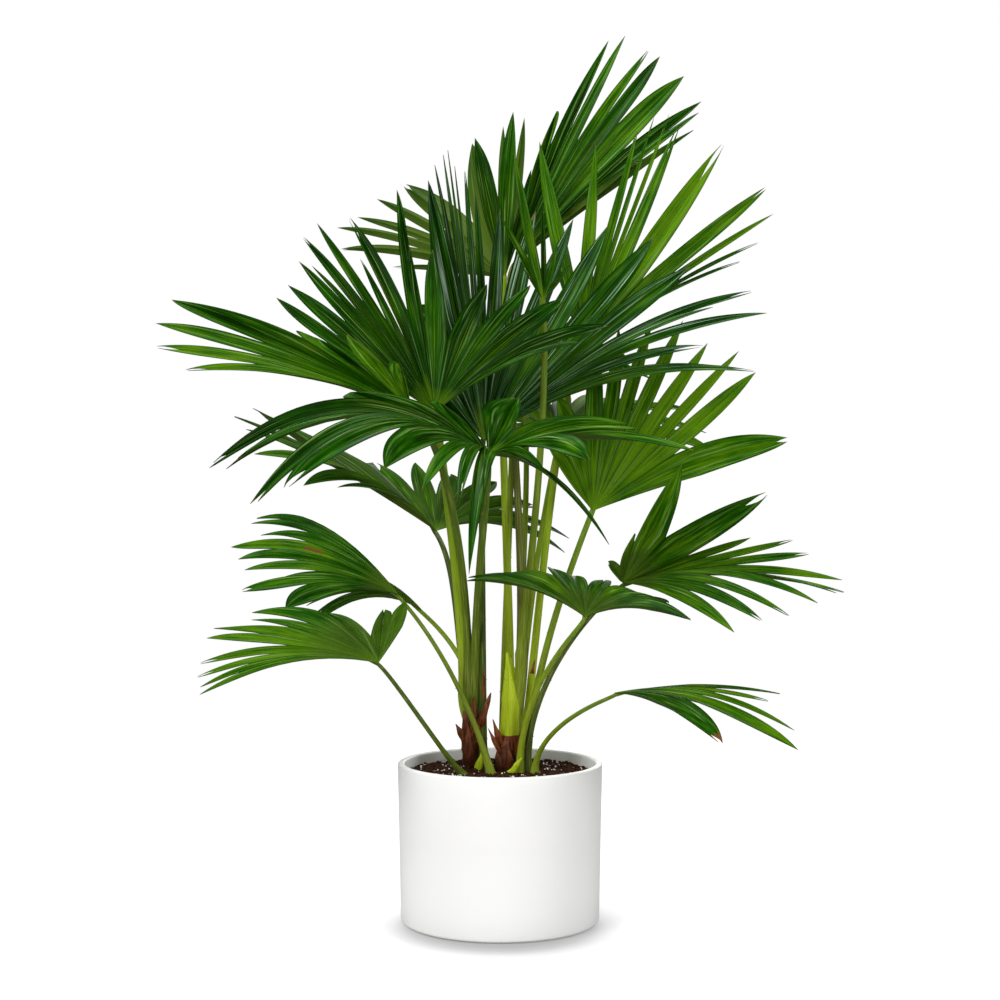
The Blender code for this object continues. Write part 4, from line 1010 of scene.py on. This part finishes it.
def floor_mesh(radius):
    """Disc of the floor, rings of points (r cos a, r sin a) just under the pot."""
    points, faces = lathe_points([(r, -0.0005) for r in radius * np.linspace(0.0, 1.0, 12)], 64)
    return new_mesh("floor", points, faces)


# Soft shade on the floor: its centre ahead of the pot's axis, and the radius at which it ends
SHADE_AHEAD = -0.045
SHADE_RADIUS = 0.250


def floor_material(radius):
    """Pale floor that darkens softly about the pot's foot and fades out toward the disc's rim."""
    made, tree, shader = principled("floor_white")
    coord = tree.nodes.new("ShaderNodeTexCoord")
    tree.links.new(near_spot(tree, coord.outputs["Object"], (0.0, 0.0, 0.0), radius), shader.inputs["Alpha"])
    shade = near_spot(tree, coord.outputs["Object"], (0.0, SHADE_AHEAD, 0.0), SHADE_RADIUS)
    open_sky = ramp(tree, shade, (0.0, 1.0), (0.12, 0.98), (0.28, 0.93), (0.468, 0.84), (0.637, 0.68),
                    (0.782, 0.46), (0.914, 0.36))
    colour = mix_colour(tree, open_sky, (0.05, 0.05, 0.05), (0.50, 0.50, 0.50))
    finish_surface(tree, shader, colour, 0.9)
    shader.inputs["Specular IOR Level"].default_value = 0.0
    shader.inputs["Emission Color"].default_value = (1.0, 1.0, 1.0, 1.0)
    ray = tree.nodes.new("ShaderNodeLightPath")
    glow = maths(tree, "MULTIPLY", maths(tree, "MULTIPLY", ray.outputs["Is Camera Ray"], 0.80), open_sky)
    tree.links.new(glow, shader.inputs["Emission Strength"])
    return made


def studio_world(strength):
    """White surround for the camera that lights the plant with a lower strength."""
    world = bpy.data.worlds.new("studio")
    world.use_nodes = True
    tree = world.node_tree
    ray = tree.nodes.new("ShaderNodeLightPath")
    power = maths(tree, "ADD", maths(tree, "MULTIPLY", ray.outputs["Is Camera Ray"], 1.0 - strength), strength)
    tree.links.new(power, tree.nodes["Background"].inputs["Strength"])
    tree.nodes["Background"].inputs["Color"].default_value = (1.0, 1.0, 1.0, 1.0)
    return world


# Add-on

class PalmSettings(bpy.types.PropertyGroup):
    leaf_thickness: bpy.props.FloatProperty(
        name="Leaf thickness", description="Thickness of a blade", default=0.0009, unit="LENGTH", subtype="DISTANCE")
    pleat_depth: bpy.props.FloatProperty(
        name="Pleat depth", description="Depth of a finger's fold as a share of its half width", default=0.50)
    spine_size: bpy.props.FloatProperty(
        name="Spine size", description="Size of a petiole's spine", default=0.0011, unit="LENGTH", subtype="DISTANCE")
    spine_count: bpy.props.IntProperty(name="Spines", description="Spines on each petiole", default=18)
    crumb_count: bpy.props.IntProperty(name="Crumbs", description="Loose lumps on the soil", default=1500)
    perlite_count: bpy.props.IntProperty(name="Perlite", description="White grains on the soil", default=260)
    floor_radius: bpy.props.FloatProperty(
        name="Floor radius", description="Radius of the pale floor", default=2.2, unit="LENGTH", subtype="DISTANCE")
    sky_light: bpy.props.FloatProperty(name="Sky light", description="Strength of the even surround", default=0.14)


class PALM_OT_pot(bpy.types.Operator):
    """Add the pot: a turned shell with a rounded rim and foot"""
    bl_idname = "palm.add_pot"
    bl_label = "Add Pot"

    def execute(self, context):
        points, faces = lathe_points(pot_profile(0.0025, 0.0045), 160)
        place("pot_shell", new_mesh("pot_shell", points, faces, sharp_angle=30.0), pot_material(), ["pot"], "pot_white")
        return {"FINISHED"}


class PALM_OT_soil(bpy.types.Operator):
    """Add the soil: a crumbly surface with loose lumps and white grains"""
    bl_idname = "palm.add_soil"
    bl_label = "Add Soil"

    def execute(self, context):
        settings = context.scene.palm
        earth = soil_material()
        wall = POT_RIM_RADIUS - POT_WALL - 0.0007
        rings, sides = 90, 260
        r = np.linspace(0.0, 1.0, rings)[:, None] ** 0.8 * wall
        a = (2.0 * np.pi * np.arange(sides) / sides)[None, :]
        x, y = r * np.cos(a), r * np.sin(a)
        flat = np.stack([x, y, 0.0 * x], -1)
        edge = np.clip((wall - r) / 0.004, 0.0, 1.0)
        z = soil_height(r) + 0.0022 * lattice_noise(flat, 0.012, 3) + edge * 0.0016 * lattice_noise(flat, 0.0035, 4)
        top = np.stack([x, y, z + 0.0 * x], -1)
        skirt = np.stack([0.985 * x[-1], 0.985 * y[-1], np.full(sides, POT_FLOOR + GAP)], -1)
        floor = np.stack([0.0 * x[-1], 0.0 * y[-1], np.full(sides, POT_FLOOR + GAP)], -1)
        points = np.concatenate([top.reshape(-1, 3), skirt, floor])
        faces = grid_faces(rings + 2, sides, wrap=True)[:, ::-1]
        place("soil_surface", new_mesh("soil_surface", points, faces, sharp_angle=80.0), earth,
              ["soil"], "soil_dark")
        draw = np.random.default_rng(8)
        for name, count, low, high, material, seed, lift in (
                ("soil_crumbs", settings.crumb_count, 0.0012, 0.0032, earth, 11, 0.0),
                ("perlite", settings.perlite_count, 0.0006, 0.0018,
                 plain_material("perlite_white", (0.82, 0.80, 0.76), 0.9), 12, 0.0010)):
            radius = wall * 0.965 * np.sqrt(draw.uniform(0.0, 1.0, count))
            turn = draw.uniform(0.0, 2.0 * np.pi, count)
            size = draw.uniform(low, high, count)
            spots = np.stack([radius * np.cos(turn), radius * np.sin(turn), 0.0 * turn], -1)
            spots[:, 2] = (soil_height(radius) + 0.0022 * lattice_noise(spots, 0.012, 3)
                           + 0.0016 * lattice_noise(spots, 0.0035, 4) + lift)
            points, faces = chunks(spots, size, seed)
            piece = place(name, new_mesh(name, points, faces, sharp_angle=20.0), material)
            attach(piece, BODY)
        return {"FINISHED"}


class PALM_OT_stems(bpy.types.Operator):
    """Add the stems: two wrapped brown sheaths and a ribbed green core"""
    bl_idname = "palm.add_stems"
    bl_label = "Add Stems"

    def execute(self, context):
        base = SOIL_TOP + GAP
        streaks = shared_group("streaks", streak_group)
        sheath, green = sheath_material(streaks), petiole_material(streaks)
        place("stem_left_bark", stem_mesh("stem_left_bark", LEFT_STEM, base, 3, 0.05, 2.0, 0.35, (0.0, 0.0), 21), sheath,
              ["stem_left"], "sheath_brown")
        place("stem_right_bark", stem_mesh("stem_right_bark", RIGHT_STEM, base, 3, 0.05, 2.0, 0.0, (0.0, 0.0), 22), sheath,
              ["stem_right"], "sheath_brown")
        core_base = base + RIGHT_STEM["rise"] + GAP
        core = stem_mesh("core_bundle", CORE, core_base, 4, 0.10, 0.0, 0.85, CORE_BEND, 23)
        count = len(core.loops)
        layer = core.uv_layers.new(name="strip")
        heights = np.empty(len(core.vertices) * 3)
        core.vertices.foreach_get("co", heights)
        corners = np.empty(count, np.int32)
        core.loops.foreach_get("vertex_index", corners)
        spots = heights.reshape(-1, 3)[corners]
        turn = np.arctan2(spots[:, 1] - CORE["foot"][1], spots[:, 0] - CORE["foot"][0]) / (2.0 * np.pi) + 0.5
        layer.data.foreach_set("uv", np.stack([turn, (spots[:, 2] - core_base) * 1.2], -1).ravel())
        core.uv_layers.new(name="kind").data.foreach_set("uv", np.zeros(2 * count))
        place("core_bundle", core, green, ["core_right"], "petiole_green")
        for name, rows, skin, thick, slot in (
                ("sheath_flags", FLAGS, sheath, 0.0007, "sheath_brown"),
                ("shoots", SHOOTS, green, 0.0030, "petiole_green")):
            points, faces = np.zeros((0, 3)), np.zeros((0, 4), int)
            for k, (foot, tip, width) in enumerate(rows):
                more, quads = flag_points(foot, tip, width, thick, 0.5 * math.sin(2.4 * k))
                faces = np.concatenate([faces, quads + len(points)])
                points = np.concatenate([points, more])
            strip = np.stack([10.0 * points[:, 0], 5.0 * (points[:, 2] - SOIL_TOP)], -1)
            mesh = new_mesh(name, points, faces, strip, 0.0 * strip, sharp_angle=60.0)
            piece = place(name, mesh, skin)
            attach(piece, BODY)
        return {"FINISHED"}


class PALM_OT_petioles(bpy.types.Operator):
    """Add the petioles: channelled tapering stalks with small spines"""
    bl_idname = "palm.add_petioles"
    bl_label = "Add Petioles"

    def execute(self, context):
        settings = context.scene.palm
        skin = bpy.data.materials.get("petiole_skin") or petiole_material(shared_group("streaks", streak_group))
        for spec in FRONDS:
            points, faces, strip, kind = petiole_points(spec, PETIOLE_LOOK[spec["name"]], settings.spine_size,
                                                        settings.spine_count)
            name = "stalk_" + spec["name"]
            place(name, new_mesh(name, points, faces, strip, kind, sharp_angle=45.0), skin,
                  ["petiole_" + spec["name"]], "petiole_green")
        return {"FINISHED"}


class PALM_OT_blades(bpy.types.Operator):
    """Add the fan blades: pleated fingers split beyond the united part of the fan"""
    bl_idname = "palm.add_blades"
    bl_label = "Add Blades"

    def execute(self, context):
        settings = context.scene.palm
        named = {spec["name"]: spec for spec in FRONDS}
        dry_tip = fan_points(named["right_low"], 4.5, 1.0)[0]
        dry_streak = fan_points(named["left_fan"], 5.65, 0.52)[0]
        pattern = leaf_group(shared_group("streaks", streak_group))
        dull_spots = [(named[name]["hub"], radius) for name, radius in DULL_HUBS.items()]
        # The colour after the pattern is the painted sheen's highlight colour: yellow-green, and bluish white on glossy
        # blades
        leaf = leaf_material("leaf_skin", pattern, (0.17, 0.31, 0.070), 0.02, dull_spots,
                             ((dry_tip, 0.024, 0.0, 4.0), (dry_streak, 0.024, 0.25, 0.24)))
        glossy = leaf_material("leaf_glossy", pattern, (0.40, 0.56, 0.40), 0.04, (), ())
        for seed, spec in enumerate(FRONDS):
            # The blade's tone carries its painted light as well as its green
            tone, olive = LEAF_TONE_AND_LIGHT[spec["name"]]
            mesh = blade_mesh(spec, seed, settings.leaf_thickness, settings.pleat_depth, tone, olive)
            skin = glossy if spec["name"] in GLOSSY_BLADES else leaf
            place(mesh.name, mesh, skin, ["blade_" + spec["name"]], "leaf_green")
        return {"FINISHED"}


class PALM_OT_stage(bpy.types.Operator):
    """Add the stage: a pale floor, soft lights and the camera at the photo's place"""
    bl_idname = "palm.add_stage"
    bl_label = "Add Stage"

    def execute(self, context):
        scene = context.scene
        settings = scene.palm
        floor = place("floor", floor_mesh(settings.floor_radius), floor_material(settings.floor_radius))
        scene.world = studio_world(settings.sky_light)
        for name, spot, aim, power, width in (
                ("key", (-2.0, -2.0, 2.2), (0.0, 0.0, 0.6), 88.0, 1.4),
                ("fill", (2.2, -1.7, 1.1), (0.0, 0.0, 0.5), 38.0, 1.4),
                ("front", (-0.3, -2.9, 0.8), (0.0, 0.0, 0.5), 16.0, 1.8),
                ("back", (0.9, 2.9, 1.5), (0.0, 0.0, 0.6), 34.0, 1.8),
                ("top", (-0.3, 0.4, 3.2), (0.0, 0.0, 0.6), 78.0, 1.6)):
            light = bpy.data.lights.new(name, "AREA")
            light.energy = power
            light.size = width
            lamp = bpy.data.objects.new(name, light)
            lamp.location = spot
            toward = np.array(aim) - np.array(spot)
            lamp.rotation_euler = (math.acos(-toward[2] / np.linalg.norm(toward)) * 1.0, 0.0,
                                   math.atan2(toward[1], toward[0]) - 0.5 * math.pi)
            scene.collection.objects.link(lamp)
        camera = bpy.data.cameras.new("camera")
        camera.lens = 61.7
        camera.sensor_width = 36.0
        eye = bpy.data.objects.new("camera", camera)
        eye.location = (0.0, -2.35, 0.574)
        eye.rotation_euler = (0.5 * math.pi, 0.0, 0.0)
        scene.collection.objects.link(eye)
        scene.camera = eye
        scene.view_settings.view_transform = "Standard"
        return {"FINISHED"}


class PALM_PT_panel(bpy.types.Panel):
    """Fan palm controls"""
    bl_label = "Fan Palm"
    bl_space_type = "VIEW_3D"
    bl_region_type = "UI"
    bl_category = "Fan Palm"

    def draw(self, context):
        for key in PalmSettings.__annotations__:
            self.layout.prop(context.scene.palm, key)
        for operator in OPERATORS:
            self.layout.operator(operator.bl_idname)


OPERATORS = (PALM_OT_pot, PALM_OT_soil, PALM_OT_stems, PALM_OT_petioles, PALM_OT_blades, PALM_OT_stage)
CLASSES = (PalmSettings, *OPERATORS, PALM_PT_panel)


def register():
    for kind in CLASSES:
        bpy.utils.register_class(kind)
    bpy.types.Scene.palm = bpy.props.PointerProperty(type=PalmSettings)


def unregister():
    del bpy.types.Scene.palm
    for kind in reversed(CLASSES):
        bpy.utils.unregister_class(kind)


def main():
    register()
    for add in (bpy.ops.palm.add_pot, bpy.ops.palm.add_soil, bpy.ops.palm.add_stems, bpy.ops.palm.add_petioles,
                bpy.ops.palm.add_blades, bpy.ops.palm.add_stage):
        add()


if __name__ == "__main__":
    main()
